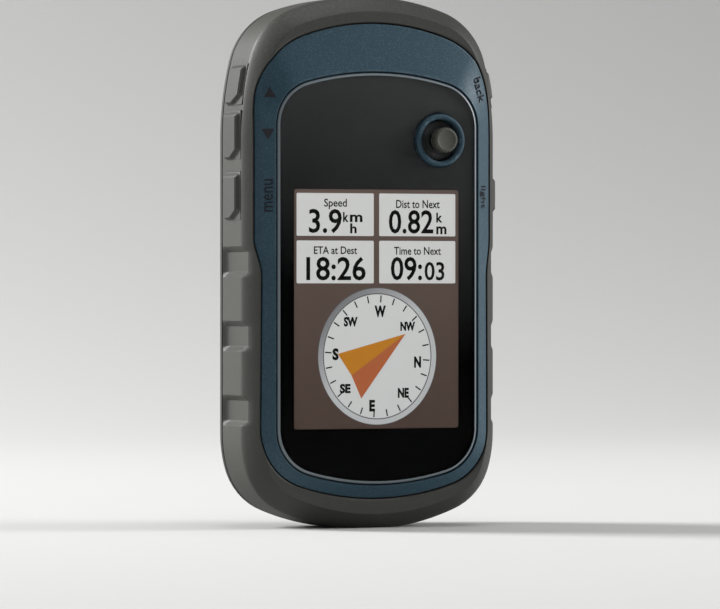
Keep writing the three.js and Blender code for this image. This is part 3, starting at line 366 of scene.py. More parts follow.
FAN_STEP = 0.1
insets = np.arange(0, 8.01, FAN_STEP)
fan = np.array([outline(BODY, i, HEIGHTS) for i in insets])


def body_ring(inset):
    """Body outline with a different inset at each column, read from a fan of insets."""
    place = np.clip(np.broadcast_to(inset, fan.shape[1]) / FAN_STEP, 0, len(insets) - 1.001)
    low = place.astype(int)
    part = (place - low)[:, None]
    column = np.arange(fan.shape[1])
    return fan[low, column] * (1 - part) + fan[low + 1, column] * part


pocket = outline(FACE, -GAP, HEIGHTS)
gaps = np.array([np.linalg.norm(fan[0] - p, axis=1).min() for p in pocket])
column_z = fan[0][:, 1]
notch = notch_depth(column_z) * (np.abs(fan[0][:, 0]) > HALF - 1)
BULGE = 0.06


def chamfer_depth(inset):
    """Depth of the front surface at an inset: a slightly full ramp, then the flat rim."""
    t = np.clip(inset / CHAMFER, 0, 1)
    return SIDE_FRONT + (RIM_FRONT - SIDE_FRONT) * t - CHAMFER_FULLNESS * np.sin(np.pi * t)


rings = [at_depth(body_ring(0.12), PARTING)]
for depth in np.r_[np.linspace(PARTING - 0.12, PARTING - 1.8, 7),
                   np.linspace(PARTING - 2.3, SIDE_FRONT + 0.35, 12)]:
    bulge = BULGE * ((depth - PARTING) / (SIDE_FRONT - PARTING)) ** 2
    fade = np.clip((PARTING - depth) / NOTCH_FADE, 0, 1)
    rings.append(at_depth(body_ring(np.maximum(bulge, notch * np.sin(fade * np.pi / 2))), depth))
start = np.maximum(BULGE, notch)
for inset in np.r_[0.06, 0.18, np.linspace(0.4, 5.6, 24)]:
    here = np.minimum(np.maximum(start + 0.02, inset + BULGE * (1 - inset / 6)), gaps - 0.16)
    soft = 0.3 * np.exp(-((here - start) / 0.25))
    rings.append(at_depth(body_ring(here), chamfer_depth(here) + soft))
lip = chamfer_depth(gaps)
floor = np.maximum(face_high[1] + GAP, lip + 0.75)
inner_line, wall_line = outline(FACE, 2.4, HEIGHTS), body_ring(2.0)
for line, depth in ((pocket, lip + 0.14), (pocket, floor), (inner_line, floor),
                    (inner_line, floor + 1.1), (wall_line, floor + 1.1), (wall_line, PARTING)):
    rings.append(at_depth(line, depth))
front = ring_piece("front_shell", rings, closed=True, sharp=24)
write_points(front.data, np.maximum(read_points(front.data), [-np.inf, -np.inf, 0]))
belong(front, "casing", "front_housing")
print("front shell", len(front.data.polygons), "faces")

# %% [markdown]
# ## Face plate
# The blue plate is crowned: it meets the bezel flush at its edge and rises to the
# window. Its rings run from the outer edge to the window opening, then down onto
# the ledge that carries the window, and back underneath.

# %% Face plate
PLATE_HEIGHTS = crowd(19.6, 76.0, 0.8, FACE["step"])
plate_edge = outline(FACE, 0, PLATE_HEIGHTS)
opening = outline(WINDOW, -0.35, PLATE_HEIGHTS)
ledge = outline(WINDOW, 1.3, PLATE_HEIGHTS)
body_line = outline(BODY, 0, np.linspace(20, 90, 400), 200)
edge_gap = np.array([np.linalg.norm(body_line - p, axis=1).min() for p in plate_edge])
edge_depth = chamfer_depth(np.maximum(edge_gap - GAP, 0))
plate_back = np.maximum(face_high[1], edge_depth + 0.5)
edge_depth = edge_depth + 0.12
rings = [at_depth(plate_edge, plate_back), at_depth(plate_edge, edge_depth + 0.1)]
for t in np.r_[0.015, 0.04, 0.07, np.linspace(0.1, 1, 18)]:
    ring = plate_edge + (opening - plate_edge) * t
    rings.append(at_depth(ring, edge_depth + (face_low[1] - edge_depth) * t))
for line, depth in ((opening, face_low[1] + 0.1), (opening, face_low[1] + 1.65),
                    (ledge, face_low[1] + 1.65), (ledge, face_high[1])):
    rings.append(at_depth(line, depth))
plate = belong(ring_piece("blue_face", rings, closed=True, sharp=40), "casing",
               "face_plate")
print("face plate", len(plate.data.polygons), "faces")

# %% [markdown]
# ## Window
# The window is a thin clear plate with a bevel, and a round hole where the thumb stick comes through.
# The bevel's faces get a pale grey, a painted reflection. The window's front is flat, so the rings
# simply shrink from the outline to the hole.

# %% Window
stick_low, stick_high = box_mm("stick_collar")
STICK = (stick_low + stick_high) / 2
WINDOW_HOLE = (stick_high[0] - stick_low[0]) / 2 - 0.7


def window_ring(inset):
    """Window outline at an inset."""
    return outline(WINDOW, inset, PLATE_HEIGHTS)


def towards_hole(ring, radius):
    """Points on a circle round the stick, in the direction of each ring point."""
    away = ring - [STICK[0], STICK[2]]
    return [STICK[0], STICK[2]] + radius * away / np.linalg.norm(away, axis=1)[:, None]


glass_front, glass_back = window_low[1], window_high[1]
hole = towards_hole(window_ring(0.5), WINDOW_HOLE)
rings = [at_depth(window_ring(0.02), glass_back), at_depth(window_ring(0), glass_back - 0.05)]
for inset, depth in soften([(0, glass_front + 0.34), (0.06, glass_front + 0.24),
                            (0.42, glass_front + 0.02), (0.55, glass_front)], 0.1, 4):
    rings.append(at_depth(window_ring(inset), depth))
rings.append(at_depth(window_ring(0.7), glass_front))
rings.append(at_depth(hole, glass_front))
rings.append(at_depth(hole, glass_back))
lens = belong(ring_piece("clear_window", rings, closed=True, sharp=30), "casing",
              "display_window")
facing = np.empty(len(lens.data.polygons) * 3)
lens.data.polygons.foreach_get("normal", facing)
slope = np.abs(facing.reshape(-1, 3)[:, 1])
BEVEL = (slope > 0.15) & (slope < 0.985)
print("window bevel faces", int(BEVEL.sum()))

# %% [markdown]
# ## Prisms and cutters
# Flat pieces come from prisms: a flat outline carried along the depth. The same
# helper makes cutters, which are removed once they have cut.

# %% Prisms


def rounded(x0, x1, z0, z1, radius, steps=8):
    """Rectangle with round corners, as points of x and z turning one way."""
    turn = np.radians(np.linspace(0, 90, steps))
    arc = np.stack([np.cos(turn), np.sin(turn)], 1) * radius
    parts = []
    for cx, cz, k in ((x1 - radius, z1 - radius, 0), (x0 + radius, z1 - radius, 1),
                      (x0 + radius, z0 + radius, 2), (x1 - radius, z0 + radius, 3)):
        c, s = [(1, 0), (0, 1), (-1, 0), (0, -1)][k]
        parts.append(arc @ [[c, s], [-s, c]] + [cx, cz])
    return np.vstack(parts)


def circle(x, z, radius, count=64):
    """Points of x and z round a centre, turning one way."""
    turn = np.linspace(0, 2 * np.pi, count, endpoint=False)
    return np.stack([x + radius * np.cos(turn), z + radius * np.sin(turn)], 1)


def prism(name, ring, front_y, back_y, sharp=32):
    """A flat outline carried along the depth."""
    return ring_piece(name, [at_depth(ring, front_y), at_depth(ring, back_y)], sharp=sharp)


def rod_cut(x, z, radius, y0, y1, count=40):
    """Round cutter along the depth."""
    return prism("cut", circle(x, z, radius, count), y0, y1)


# %% [markdown]
# ## Printed border
# Behind the clear window a black border is printed, with a clear field over the
# display and a hole for the thumb stick. It is a thin prism with two cuts.

# %% Printed border
FIELD = (-17.25, 17.25, 19.2, 65.2)
border = prism("printed_border", outline(WINDOW, 0.32, PLATE_HEIGHTS), glass_back + 0.1,
               glass_back + 0.14)
carve(border, [prism("cut", rounded(*FIELD, 0.5), glass_back - 1, glass_back + 1),
               rod_cut(STICK[0], STICK[2], WINDOW_HOLE, glass_back - 1, glass_back + 1, 64)])
belong(finish_edges(border), "casing")
print("border", len(border.data.polygons), "faces")

# %% [markdown]
# ## Display
# The display shows four fields of numbers over a compass. Each field is a pale
# rounded plate a few hundredths of a millimetre thick on the dark panel, and the
# letters lie on it. The compass is a silver ring round a pale disc with 24 ticks.

# %% Display plates
SCREEN = box_mm("display_panel")[0][1]
LAYER = 0.02
FIELD_SIZE = (16.1, 8.2)
FIELD_GAP = (1.15, 0.9)
field_left = FIELD[0] + (FIELD[1] - FIELD[0] - 2 * FIELD_SIZE[0] - FIELD_GAP[0]) / 2
field_top = FIELD[3] - 0.75
fields = []
for row in (0, 1):
    for column in (0, 1):
        x = field_left + column * (FIELD_SIZE[0] + FIELD_GAP[0])
        z = field_top - row * (FIELD_SIZE[1] + FIELD_GAP[1])
        plate_ring = rounded(x, x + FIELD_SIZE[0], z - FIELD_SIZE[1], z, 0.25)
        fields.append(prism("field_%d" % (len(fields) + 1), plate_ring, SCREEN - LAYER, SCREEN))
print("fields", len(fields))

# %% Letters


def letters(name, text, place, width, height, turn=0, bold=0.016):
    """Raised letters on the front, fitted to a width and a height round a place.

    The letters are made at size 1, then scaled so their own box has the given
    size. turn is in degrees, and bold thickens each stroke by a share of the size.
    """
    curve = bpy.data.curves.new(name, "FONT")
    curve.body = text
    curve.size = 1.0
    curve.offset = bold
    curve.extrude = 0.012
    curve.resolution_u = 3
    holder = linked(name, curve)
    graph = bpy.context.evaluated_depsgraph_get()
    mesh = bpy.data.meshes.new_from_object(holder.evaluated_get(graph))
    bpy.data.objects.remove(holder)
    p = read_points(mesh)
    low, high = p[:, :2].min(0), p[:, :2].max(0)
    across, up = ((p[:, :2] - (low + high) / 2) / (high - low) * [width, height]).T
    c, s = math.cos(math.radians(turn)), math.sin(math.radians(turn))
    x, z = across * c - up * s, across * s + up * c
    write_points(mesh, np.stack([x + place[0], place[1] - p[:, 2] * MM, z + place[2]], 1))
    return linked(name, mesh)


# %% Field text
# Each text has its middle, to the right of and below the upper left corner of the
# first field, then its width and its height.
TEXT_DEPTH = SCREEN - LAYER
WRITING = [("Speed", 8.08, 2.07, 4.75, 2.02), ("3.9", 5.97, 5.37, 6.86, 4.67),
           ("k", 10.24, 4.57, 1.16, 1.93), ("m", 12.41, 4.81, 2.64, 1.44),
           ("h", 11.83, 6.74, 1.37, 1.93), ("Dist to Next", 25.42, 2.0, 9.24, 1.59),
           ("0.82", 23.97, 5.42, 9.4, 4.57), ("k", 29.96, 4.57, 1.32, 1.93),
           ("m", 30.39, 7.03, 2.16, 1.54), ("ETA at Dest", 8.1, 10.95, 9.03, 1.49),
           ("18:26", 8.21, 14.47, 12.41, 4.57), ("Time to Next", 25.34, 11.03, 9.93, 1.54),
           ("09:", 22.99, 14.47, 6.6, 4.57), ("03", 28.93, 14.95, 4.22, 3.61)]
writing = [letters("text_%02d" % (k + 1), text,
                   (field_left + right, TEXT_DEPTH, field_top - down), width, height,
                   bold=0.03 if len(text) == 1 else 0.016)
           for k, (text, right, down, width, height) in enumerate(WRITING)]
print("letters", len(writing))

# %% [markdown]
# ## Compass
# The dial is turned a few degrees, so west stands almost at the top. Ticks are
# thin radial bars, 15 degrees apart, and the letters stay upright.

# %% Compass
DIAL = (0.2, 33.1)
DIAL_SIZE = (12.5, 13.25)
DIAL_TURN = -4
TICK_LENGTH, TICK_HALF = 1.35, 0.13


def ellipse(inset, count=96):
    """Ring round the dial at an inset, as an ellipse."""
    turn = np.linspace(0, 2 * np.pi, count, endpoint=False)
    return np.stack([DIAL[0] + (DIAL_SIZE[0] - inset) * np.cos(turn),
                     DIAL[1] + (DIAL_SIZE[1] - inset) * np.sin(turn)], 1)


def flat_ring(name, outer, inner, front_y, back_y):
    """Flat closed band between two outlines with the same number of points."""
    return ring_piece(name, [at_depth(outer, back_y), at_depth(outer, front_y),
                             at_depth(inner, front_y), at_depth(inner, back_y)], closed=True)


dial = prism("dial", ellipse(1.0), SCREEN - LAYER, SCREEN)
dial_rim = flat_ring("dial_rim", ellipse(0.12), ellipse(1.1), SCREEN - 2 * LAYER, SCREEN)
dial_shade = flat_ring("dial_shade", ellipse(0), ellipse(1.3), SCREEN - 1.5 * LAYER, SCREEN)
ticks = []
for k in range(24):
    angle = math.radians(90 + DIAL_TURN - 15 * k)
    along = np.array([math.cos(angle), math.sin(angle)])
    across = np.array([-along[1], along[0]])
    far = np.array(DIAL) + along * (np.array(DIAL_SIZE) - 1.5)
    near = far - along * TICK_LENGTH
    bar = [far + across * TICK_HALF, near + across * TICK_HALF,
           near - across * TICK_HALF, far - across * TICK_HALF]
    ticks.append(prism("tick_%02d" % k, np.array(bar), SCREEN - 2 * LAYER, SCREEN - LAYER))
POINTS = [("W", 17.45, 22.7, 2.38, 2.26), ("NW", 23.26, 25.59, 3.12, 1.78),
          ("N", 25.34, 32.5, 1.48, 2.21), ("NE", 22.33, 38.42, 2.32, 1.93),
          ("E", 15.76, 40.85, 1.21, 2.26), ("SE", 10.11, 37.51, 2.27, 1.83),
          ("S", 8.1, 30.91, 1.32, 2.31), ("SW", 11.27, 24.68, 2.9, 1.88)]
points = [letters("point_" + text, text, (field_left + right, TEXT_DEPTH, field_top - down),
                  width, height, bold=0.055) for text, right, down, width, height in POINTS]
NEEDLE = {"tip": (6.1, 37.4), "left": (-8.1, 33.6), "foot": (-3.2, 25.0), "notch": (-5.25, 29.45)}
needle_upper, needle_lower = (
    prism(name, np.array([NEEDLE[k] for k in corners]), SCREEN - 3 * LAYER, SCREEN - LAYER)
    for name, corners in (("needle_upper", ("tip", "left", "notch")),
                          ("needle_lower", ("tip", "notch", "foot"))))
for piece in (fields + writing + [dial, dial_rim, dial_shade] + ticks + points
              + [needle_upper, needle_lower]):
    belong(piece, "casing")
print("ticks", len(ticks))

# %% [markdown]
# ## Thumb stick
# The collar, the rubber boot and the stick's cap are all turned shapes. A profile
# of radius and depth is swept round the stick's middle line. The cap's grip is a
# ring of shallow waves pressed into its edge.

# %% Turned pieces


def turned(profile, waves=None, count=96, centre=(STICK[0], STICK[2])):
    """Profile of radius and depth swept round a middle line, the stick's by default.

    waves(radius, angle) gives a change of radius, for grips and knurls.
    """
    turn = np.linspace(0, 2 * np.pi, count, endpoint=False)
    rings = []
    for radius, depth in profile:
        r = radius + (waves(radius, turn) if waves else 0) + np.zeros(count)
        rings.append(np.stack([centre[0] + r * np.cos(turn), np.full(count, depth),
                               centre[1] + r * np.sin(turn)], 1))
    return rings


collar_r = (stick_high[0] - stick_low[0]) / 2 - 1.0
collar_front = stick_low[1]
collar_inner = 4.07
base, step = -10.9, -11.8
collar_profile = soften([(collar_inner, base), (collar_r + 1.0, base), (collar_r + 1.0, step),
                         (collar_r, step), (collar_r, collar_front + 0.4),
                         (collar_r - 0.28, collar_front), (collar_inner + 0.3, collar_front),
                         (collar_inner, collar_front + 0.3)], 0.12)
collar = belong(ring_piece("collar", turned(collar_profile), closed=True, sharp=40),
                "casing", "stick_collar")

cap_low, cap_high = box_mm("stick_cap")
CAP_R = (cap_high[0] - cap_low[0]) / 2
tip = cap_low[1]
cap_profile = np.vstack([
    [[0.02, tip + 0.3]],
    [[r, tip + 0.3 - 0.22 * (r / 1.9) ** 2] for r in np.linspace(0.4, 1.6, 7)],
    soften([(1.6, tip + 0.14), (1.9, tip), (CAP_R - 0.15, tip + 0.12), (CAP_R, tip + 0.6),
            (CAP_R - 0.3, cap_high[1]), (1.5, cap_high[1])], 0.22, 6),
    [[1.3, cap_high[1]], [1.3, tip + 0.95], [0.02, tip + 0.95]]])


def grip(radius, turn):
    """Fine knurl that grows towards the cap's edge."""
    return 0.045 * np.clip((radius - 1.9) / 0.5, 0, 1) * (np.cos(24 * turn) - 1)


cap = belong(ring_piece("stick_grip", turned(cap_profile, grip, 192), sharp=50),
             "stick", "stick_cap")

boot_low, boot_high = box_mm("stick_boot")
boot_r = (boot_high[0] - boot_low[0]) / 2
boot_profile = soften([(2.0, boot_low[1]), (2.6, boot_low[1] + 0.25), (3.1, boot_low[1]),
                       (boot_r, boot_low[1] + 0.1), (boot_r, boot_high[1]), (3.1, boot_high[1]),
                       (3.1, boot_low[1] + 0.7), (2.0, boot_low[1] + 0.7)], 0.1)
boot = belong(ring_piece("boot", turned(boot_profile), closed=True, sharp=40),
              "casing", "stick_boot")
print("cap radius", round(float(CAP_R), 2))

# %% [markdown]
# ## Rear housing
# The back half narrows in three slopes towards a flat back. It is a solid stack of
# rings, hollowed by a second stack, with the battery tub joined on, and then the
# bay, the cover's seat, the port and the screw wells are cut out of it. Booleans are
# used here because the cuts cross each other in ways that no single stack can give.

# %% Rear housing
cover_low, cover_high = box_mm("battery_cover")
flap_low, flap_high = box_mm("weather_cap")
cell_low = box_mm("battery_left")[0]
port_low, port_high = box_mm("usb_port")
screw_low, screw_high = box_mm("case_screw_bottom_left")
top_screw_low, top_screw_high = box_mm("case_screw_top_left")
REAR_START = PARTING + GAP
COVER_FRONT = BACK - 1.7
LEDGE = COVER_FRONT - GAP
BAY = (-cell_low[0] + 0.45, 12.4, 68.8, cell_low[1] - GAP)
WELLS = [(sign * (-(low[0] + high[0]) / 2), (low[2] + high[2]) / 2)
         for low, high in ((screw_low, screw_high), (top_screw_low, top_screw_high))
         for sign in (-1, 1)]
WELL_FLOOR = screw_high[1] - 1.6 - GAP
TUB_WALL = 1.2
POST, WELL_WALL, SCREW_HOLE, WELL = 2.3, 3.7, 1.3, 2.3


def slopes(depth, ramps):
    """Inset at a depth: the largest of several ramps, its corners slightly eased.

    Each ramp gives its inset at its end, and the depths of its start and its end.
    """
    each = [max(inset * (depth - start) / (stop - start), 0) for inset, start, stop in ramps]
    return sum(value ** 24 for value in each) ** (1 / 24)


def tapered(name, base, depths, ramps):
    """Solid stack of body rings with a different inset at each depth."""
    rings = []
    for depth in depths:
        ring = at_depth(body_ring(base + slopes(depth, ramps)), depth)
        ring[:, 2] = np.maximum(ring[:, 2], 0 if base == 0 else 1.9)
        rings.append(ring)
    return ring_piece(name, rings)


def box_cut(x0, x1, y0, y1, z0, z1):
    """Square cutter between six planes."""
    return prism("cut", np.array([[x0, z0], [x1, z0], [x1, z1], [x0, z1]]), y0, y1)


inner_back = BACK - 2.6
hollow = tapered("hollow", 2.0, np.r_[REAR_START - 1, np.linspace(REAR_START, inner_back, 18)],
                 [(4.6, REAR_START + 0.9, inner_back), (6.1, REAR_START + 4.2, inner_back)])
half, low, high, floor = BAY
carve(hollow, [box_cut(-half - TUB_WALL, half + TUB_WALL, floor - 2, BACK, low - TUB_WALL,
                       high + TUB_WALL),
               box_cut(-half - 4.2, half + 4.2, COVER_FRONT - 2.7, BACK, 7.3, 80.4)]
      + [rod_cut(x, z, POST, 0, BACK) for x, z in WELLS]
      + [rod_cut(x, z, WELL_WALL, BACK - 8.2, BACK) for x, z in WELLS])
rear = tapered("rear_shell", 0.0, np.r_[REAR_START, REAR_START + 0.12,
                                        np.linspace(REAR_START + 0.5, BACK, 44)],
               [(5.9, REAR_START + 0.9, BACK), (7.9, REAR_START + 5.0, BACK),
                (8.4, REAR_START + 7.3, BACK)])
carve(rear, [hollow])
carve(rear, [box_cut(-half - TUB_WALL, half + TUB_WALL, floor - 1.1, REAR_START + 1,
                     low - TUB_WALL, high + TUB_WALL)], "UNION")
print("rear shell", len(rear.data.polygons), "faces before the cuts")

# %% Cuts in the rear housing
seat = rounded(cover_low[0] - GAP, cover_high[0] + GAP, cover_low[2] - GAP, 77.9, 8.3)
bay = rounded(-half, half, low, high, 3.0)
flap_seat = rounded(flap_low[0] - GAP, flap_high[0] + GAP, flap_low[2] - GAP, flap_high[2] + GAP, 2.7)
groove = flat_ring("cut", rounded(-half - 2.4, half + 2.4, 9.1, 73.7, 8.0),
                   rounded(-half - 0.6, half + 0.6, 10.9, 71.9, 6.2), LEDGE - 1.2, LEDGE + 1)
carve(rear, [prism("cut", bay, floor, BACK + 1), prism("cut", seat, LEDGE, BACK + 1), groove,
             prism("cut", flap_seat, COVER_FRONT - GAP, BACK + 1),
             box_cut(-5.7, 5.7, COVER_FRONT - 1.1, BACK, 84.0, 90.2),
             box_cut(port_low[0] - GAP, port_high[0] + GAP, COVER_FRONT - 4, BACK,
                     port_low[2] - GAP, port_high[2] + GAP),
             box_cut(-11.9, -6.1, COVER_FRONT - 1.2, COVER_FRONT + 1, 76.1, 79.2),
             box_cut(6.1, 11.9, COVER_FRONT - 1.2, COVER_FRONT + 1, 76.1, 79.2),
             box_cut(-8.6, 3.2, COVER_FRONT - 1.6, LEDGE + 1, 11.1, low + 1)])
carve(rear, [rod_cut(x, z, SCREW_HOLE, REAR_START - 1, BACK, 20) for x, z in WELLS]
      + [rod_cut(x, z, WELL, WELL_FLOOR, BACK + 1) for x, z in WELLS])
belong(finish_edges(rear, 24), "casing", "rear_housing")
print("rear shell", len(rear.data.polygons), "faces")

# %% [markdown]
# ## Battery cover, spine, latch and cap
# The flat parts of the back share one profile: a plate with a small round edge. The
# latch disc is turned, with a knurled rim for the fingers and a lug for its ring.

# %% Plates on the back


def soft_plate(name, x0, x1, z0, z1, radius, y0, y1, edge):
    """Plate between two depths whose back edge is a quarter round."""
    rings = [at_depth(rounded(x0, x1, z0, z1, radius, 12), y0)]
    for a in np.radians([0, 18, 36, 54, 72, 90]):
        inset = edge * (1 - math.cos(a))
        ring = rounded(x0 + inset, x1 - inset, z0 + inset, z1 - inset, radius - inset, 12)
        rings.append(at_depth(ring, y1 - edge * (1 - math.sin(a))))
    return ring_piece(name, rings, sharp=40)


COVER_TOP = cover_high[2] - 1.5
cover = soft_plate("cover_plate", cover_low[0], cover_high[0], cover_low[2], COVER_TOP, 8.0,
                   COVER_FRONT, BACK, 0.45)
carve(cover, [box_cut(x - 2.5, x + 2.5, COVER_FRONT, COVER_FRONT + 0.7, COVER_TOP - 1,
                      cover_high[2]) for x in (-9, 9)], "UNION")
LATCH = box_mm("latch_disc")
LATCH_Z = float((LATCH[0][2] + LATCH[1][2]) / 2)
spine_low, spine_high = box_mm("mounting_spine")
SPINE_SCREWS = [float((box_mm(n)[0][2] + box_mm(n)[1][2]) / 2)
                for n in ("spine_screw_bottom", "spine_screw_top")]
carve(cover, [rod_cut(0, LATCH_Z, 3.3, COVER_FRONT - 1, BACK + 1)]
      + [rod_cut(0, z, 1.2, COVER_FRONT - 1, BACK + 1, 24) for z in SPINE_SCREWS]
      + [flat_ring("cut", circle(0, LATCH_Z, 8.6, 96), circle(0, LATCH_Z, 8.2, 96), BACK - 0.15,
                   BACK + 1)])
finish_edges(cover, 35)
flap = soft_plate("cap_plate", flap_low[0], flap_high[0], flap_low[2] + 0.9, flap_high[2], 2.4,
                  COVER_FRONT, BACK, 0.5)
carve(flap, [prism("join", rounded(-4.8, 4.8, 84.9, 89.9, 0.9), flap_low[1], COVER_FRONT + 0.5),
             soft_plate("join", -2.6, 2.6, flap_low[2], flap_low[2] + 2, 0.7, BACK - 0.8,
                        BACK - 0.02, 0.3)], "UNION")
carve(flap, [box_cut(-4.6, 4.6, BACK - 0.25, BACK + 1, z, z + 0.5) for z in (83.4, 84.6, 85.8)])
belong(cover, "cover", "battery_cover")
belong(finish_edges(flap, 40), "port_cap", "weather_cap")
print("cover", len(cover.data.polygons), "cap", len(flap.data.polygons), "faces")

# %% Spine and latch disc
FOOT, HEAD, NECK = 3.4, 5.0, BACK + 1.1
section = soften([(-FOOT, spine_low[1]), (FOOT, spine_low[1]), (FOOT, NECK), (HEAD, NECK),
                  (HEAD, spine_high[1]), (-HEAD, spine_high[1]), (-HEAD, NECK), (-FOOT, NECK),
                  (-FOOT, spine_low[1])], 0.25, 5)[:-1]
middle = section.mean(0)
rings = []
for z, share in ((spine_low[2], 0.97), (spine_low[2] + 0.15, 1.0), (spine_high[2] - 0.15, 1.0),
                 (spine_high[2], 0.97)):
    line = middle + (section - middle) * share
    rings.append(np.stack([line[:, 0], line[:, 1], np.full(len(line), z)], 1))
spine = ring_piece("spine_rail", rings, sharp=40)
carve(spine, [box_cut(-HEAD - 1, HEAD + 1, spine_high[1] - 0.7, spine_high[1] + 1, 50, 53.5)]
      + [rod_cut(0, z, 1.2, spine_low[1] - 1, spine_high[1] + 1, 24) for z in SPINE_SCREWS]
      + [rod_cut(0, z, 2.2, spine_high[1] - 1.1, spine_high[1] + 1) for z in SPINE_SCREWS])
finish_edges(spine, 40)

disc_r = float(LATCH[1][0])
disc_back = BACK + 0.8
profile = [(0.02, LATCH[0][1]), (3.0, LATCH[0][1]), (3.0, BACK + 0.3), (disc_r - 0.1, BACK + 0.3),
           (disc_r, BACK + 0.4), (disc_r, disc_back - 0.25), (disc_r - 0.1, disc_back - 0.08),
           (disc_r - 0.3, disc_back), (disc_r - 1.2, disc_back), (disc_r - 1.4, disc_back - 0.12),
           (0.02, disc_back - 0.12)]


def knurl(radius, turn):
    """Finger grooves in the disc's rim."""
    return -0.12 * (radius > disc_r - 0.2) * (0.5 + 0.5 * np.cos(32 * turn)) ** 2


disc = ring_piece("latch_knob", turned(profile, knurl, 192, (0, LATCH_Z)), sharp=40)
lug = soft_plate("join", -2.4, 2.4, LATCH_Z - 1.5, LATCH_Z + 1.5, 0.4, BACK + 0.4, spine_high[1], 0.3)
carve(disc, [lug], "UNION")
bar = np.linspace(0, 2 * np.pi, 24, endpoint=False)
pin = [np.stack([np.full(24, x), BACK + 1.7 + 0.95 * np.cos(bar), LATCH_Z + 0.95 * np.sin(bar)], 1)
       for x in (-3.4, 3.4)]
carve(disc, [ring_piece("cut", pin)])
belong(spine, "cover", "mounting_spine")
belong(finish_edges(disc, 35), "latch", "latch_disc")
print("spine", len(spine.data.polygons), "disc", len(disc.data.polygons), "faces")

# %% [markdown]
# ## Side keys
# Each key is a rubber pad that stands proud of the side. Its top is a height above
# a grid of depth and length: ramps rise from all four edges, a slanted ramp takes
# off the lower front corner, and a thin crease runs along the front. Each row of
# the grid is closed under the pad by the stem and the flange that hold the key in.

# %% Frames on the side
PROUD = 0.85
PAD_REACH = 0.27
STEM_END, LIP_FACE, LIP_REACH = -3.6, -2.6, 0.58
FLANGE = {"zoom_in_key": (0, 0), "zoom_out_key": (1, 0), "menu_key": (1, 1),
          "back_key": (1, 0), "light_key": (1, 1)}


def side_frame(z):
    """Place and outward direction of the right side at a height."""
    line = right_side(BODY, 0)
    line = line[line[:, 0] > HALF / 2]
    x = np.interp(z, line[:, 1], line[:, 0])
    slope = (np.interp(z + 1, line[:, 1], line[:, 0]) - np.interp(z - 1, line[:, 1], line[:, 0])) / 2
    out = np.array([1.0, -slope]) if abs(slope) > 0.1 else np.array([1.0, 0.0])
    return np.array([x, z]), out / np.linalg.norm(out)


def on_side(node, side, outward, along, depth):
    """Points given outward, along and in depth of a key, in the object's frame."""
    low, high = KEY_HEIGHTS[node]
    origin, out = side_frame((low + high) / 2)
    upward = np.array([-out[1], out[0]])
    outward, along, depth = np.broadcast_arrays(outward, along, depth)
    place = origin + outward[..., None] * out + along[..., None] * upward
    return np.stack([place[..., 0] * side, depth, place[..., 1]], -1)


def key_window(node, side):
    """Block that cuts a key's window through the side."""
    low, high = KEY_HEIGHTS[node]
    half = (high - low) / 2 + GAP
    outward = np.array([-3.2, -3.2, 2.0, 2.0])
    along = np.array([-half, half, half, -half])
    return ring_piece("cut", [on_side(node, side, outward, along, y)
                              for y in (KEY_FRONT - GAP, KEY_BACK + GAP)])


SIDES = {node: -1 if k < 3 else 1 for k, node in enumerate(KEYS)}
carve(front, [key_window(node, SIDES[node]) for node in KEYS])
finish_edges(front, 24)
print("windows", len(KEYS))

# %% Side keys
FRONT_RAMP, BACK_RAMP, LOW_RAMP, HIGH_RAMP, CORNER_RAMP = 0.75, 0.6, 0.42, 1.15, 0.5
CREASE_DEPTH, CREASE_PLACE, CREASE_WIDTH = 0.3, 0.98, 0.13


def smooth_step(t):
    """0 below 0, 1 above 1 and a smooth S between."""
    t = np.clip(t, 0, 1)
    return t * t * (3 - 2 * t)


def pad_height(node, ahead, along, half, length):
    """Height of a pad's top above the side, from the distances to its edges.

    ahead is the distance from the front edge, along runs from the middle upwards.
    corner is the distance past the slanted line that takes 3.6 by 1.9 off the corner.
    """
    below, above, behind = along + half, half - along, length - ahead
    corner = (ahead / 3.6 + below / 1.9 - 1) * 1.68
    rise = (smooth_step(ahead / FRONT_RAMP) * smooth_step(behind / BACK_RAMP)
            * smooth_step(below / LOW_RAMP) * smooth_step(above / HIGH_RAMP)
            * smooth_step(corner / CORNER_RAMP))
    line = np.minimum(ahead, corner + 0.75)
    crease = (CREASE_DEPTH * np.exp(-((line - CREASE_PLACE) / CREASE_WIDTH) ** 2)
              * smooth_step(above / 1.6))
    dome = (0.25 if node == "back_key" else 0.04) * (along / half) ** 2
    return np.maximum((PROUD - dome) * rise - crease * rise, 0.02)


def key_piece(node, side):
    """Pad, stem and flange: one closed section for each depth."""
    low, high = KEY_HEIGHTS[node]
    half = (high - low) / 2 + PAD_REACH
    depth = np.linspace(KEY_FRONT - PAD_REACH, KEY_BACK + PAD_REACH, 64)
    along = np.linspace(-half, half, 96)
    top = pad_height(node, (depth - depth[0])[:, None], along[None], half, depth[-1] - depth[0])
    below, above = FLANGE[node]
    low_lip, high_lip = -half - LIP_REACH * below, half + LIP_REACH * above
    foot = np.array([[STEM_END, low_lip], [LIP_FACE, low_lip], [LIP_FACE, -half]])
    head = np.array([[LIP_FACE, half], [LIP_FACE, high_lip], [STEM_END, high_lip]])
    outward = np.hstack([np.tile(foot[:, 0], (len(depth), 1)), top,
                         np.tile(head[:, 0], (len(depth), 1))])
    lengthwise = np.r_[foot[:, 1], along, head[:, 1]]
    rings = on_side(node, side, outward, lengthwise[None], depth[:, None])
    piece = ring_piece(node.replace("_key", "_pad"), rings, sharp=40)
    return belong(piece, node.replace("_key", "_button"), node)


key_pieces = [key_piece(node, SIDES[node]) for node in KEYS]
print("keys", len(key_pieces))

# %% [markdown]
# ## Signs at the keys
# Arrows and words are printed on the blue plate beside the keys. They lie on the
# plate's slope, a hair above it: each corner takes the plate's depth under it.

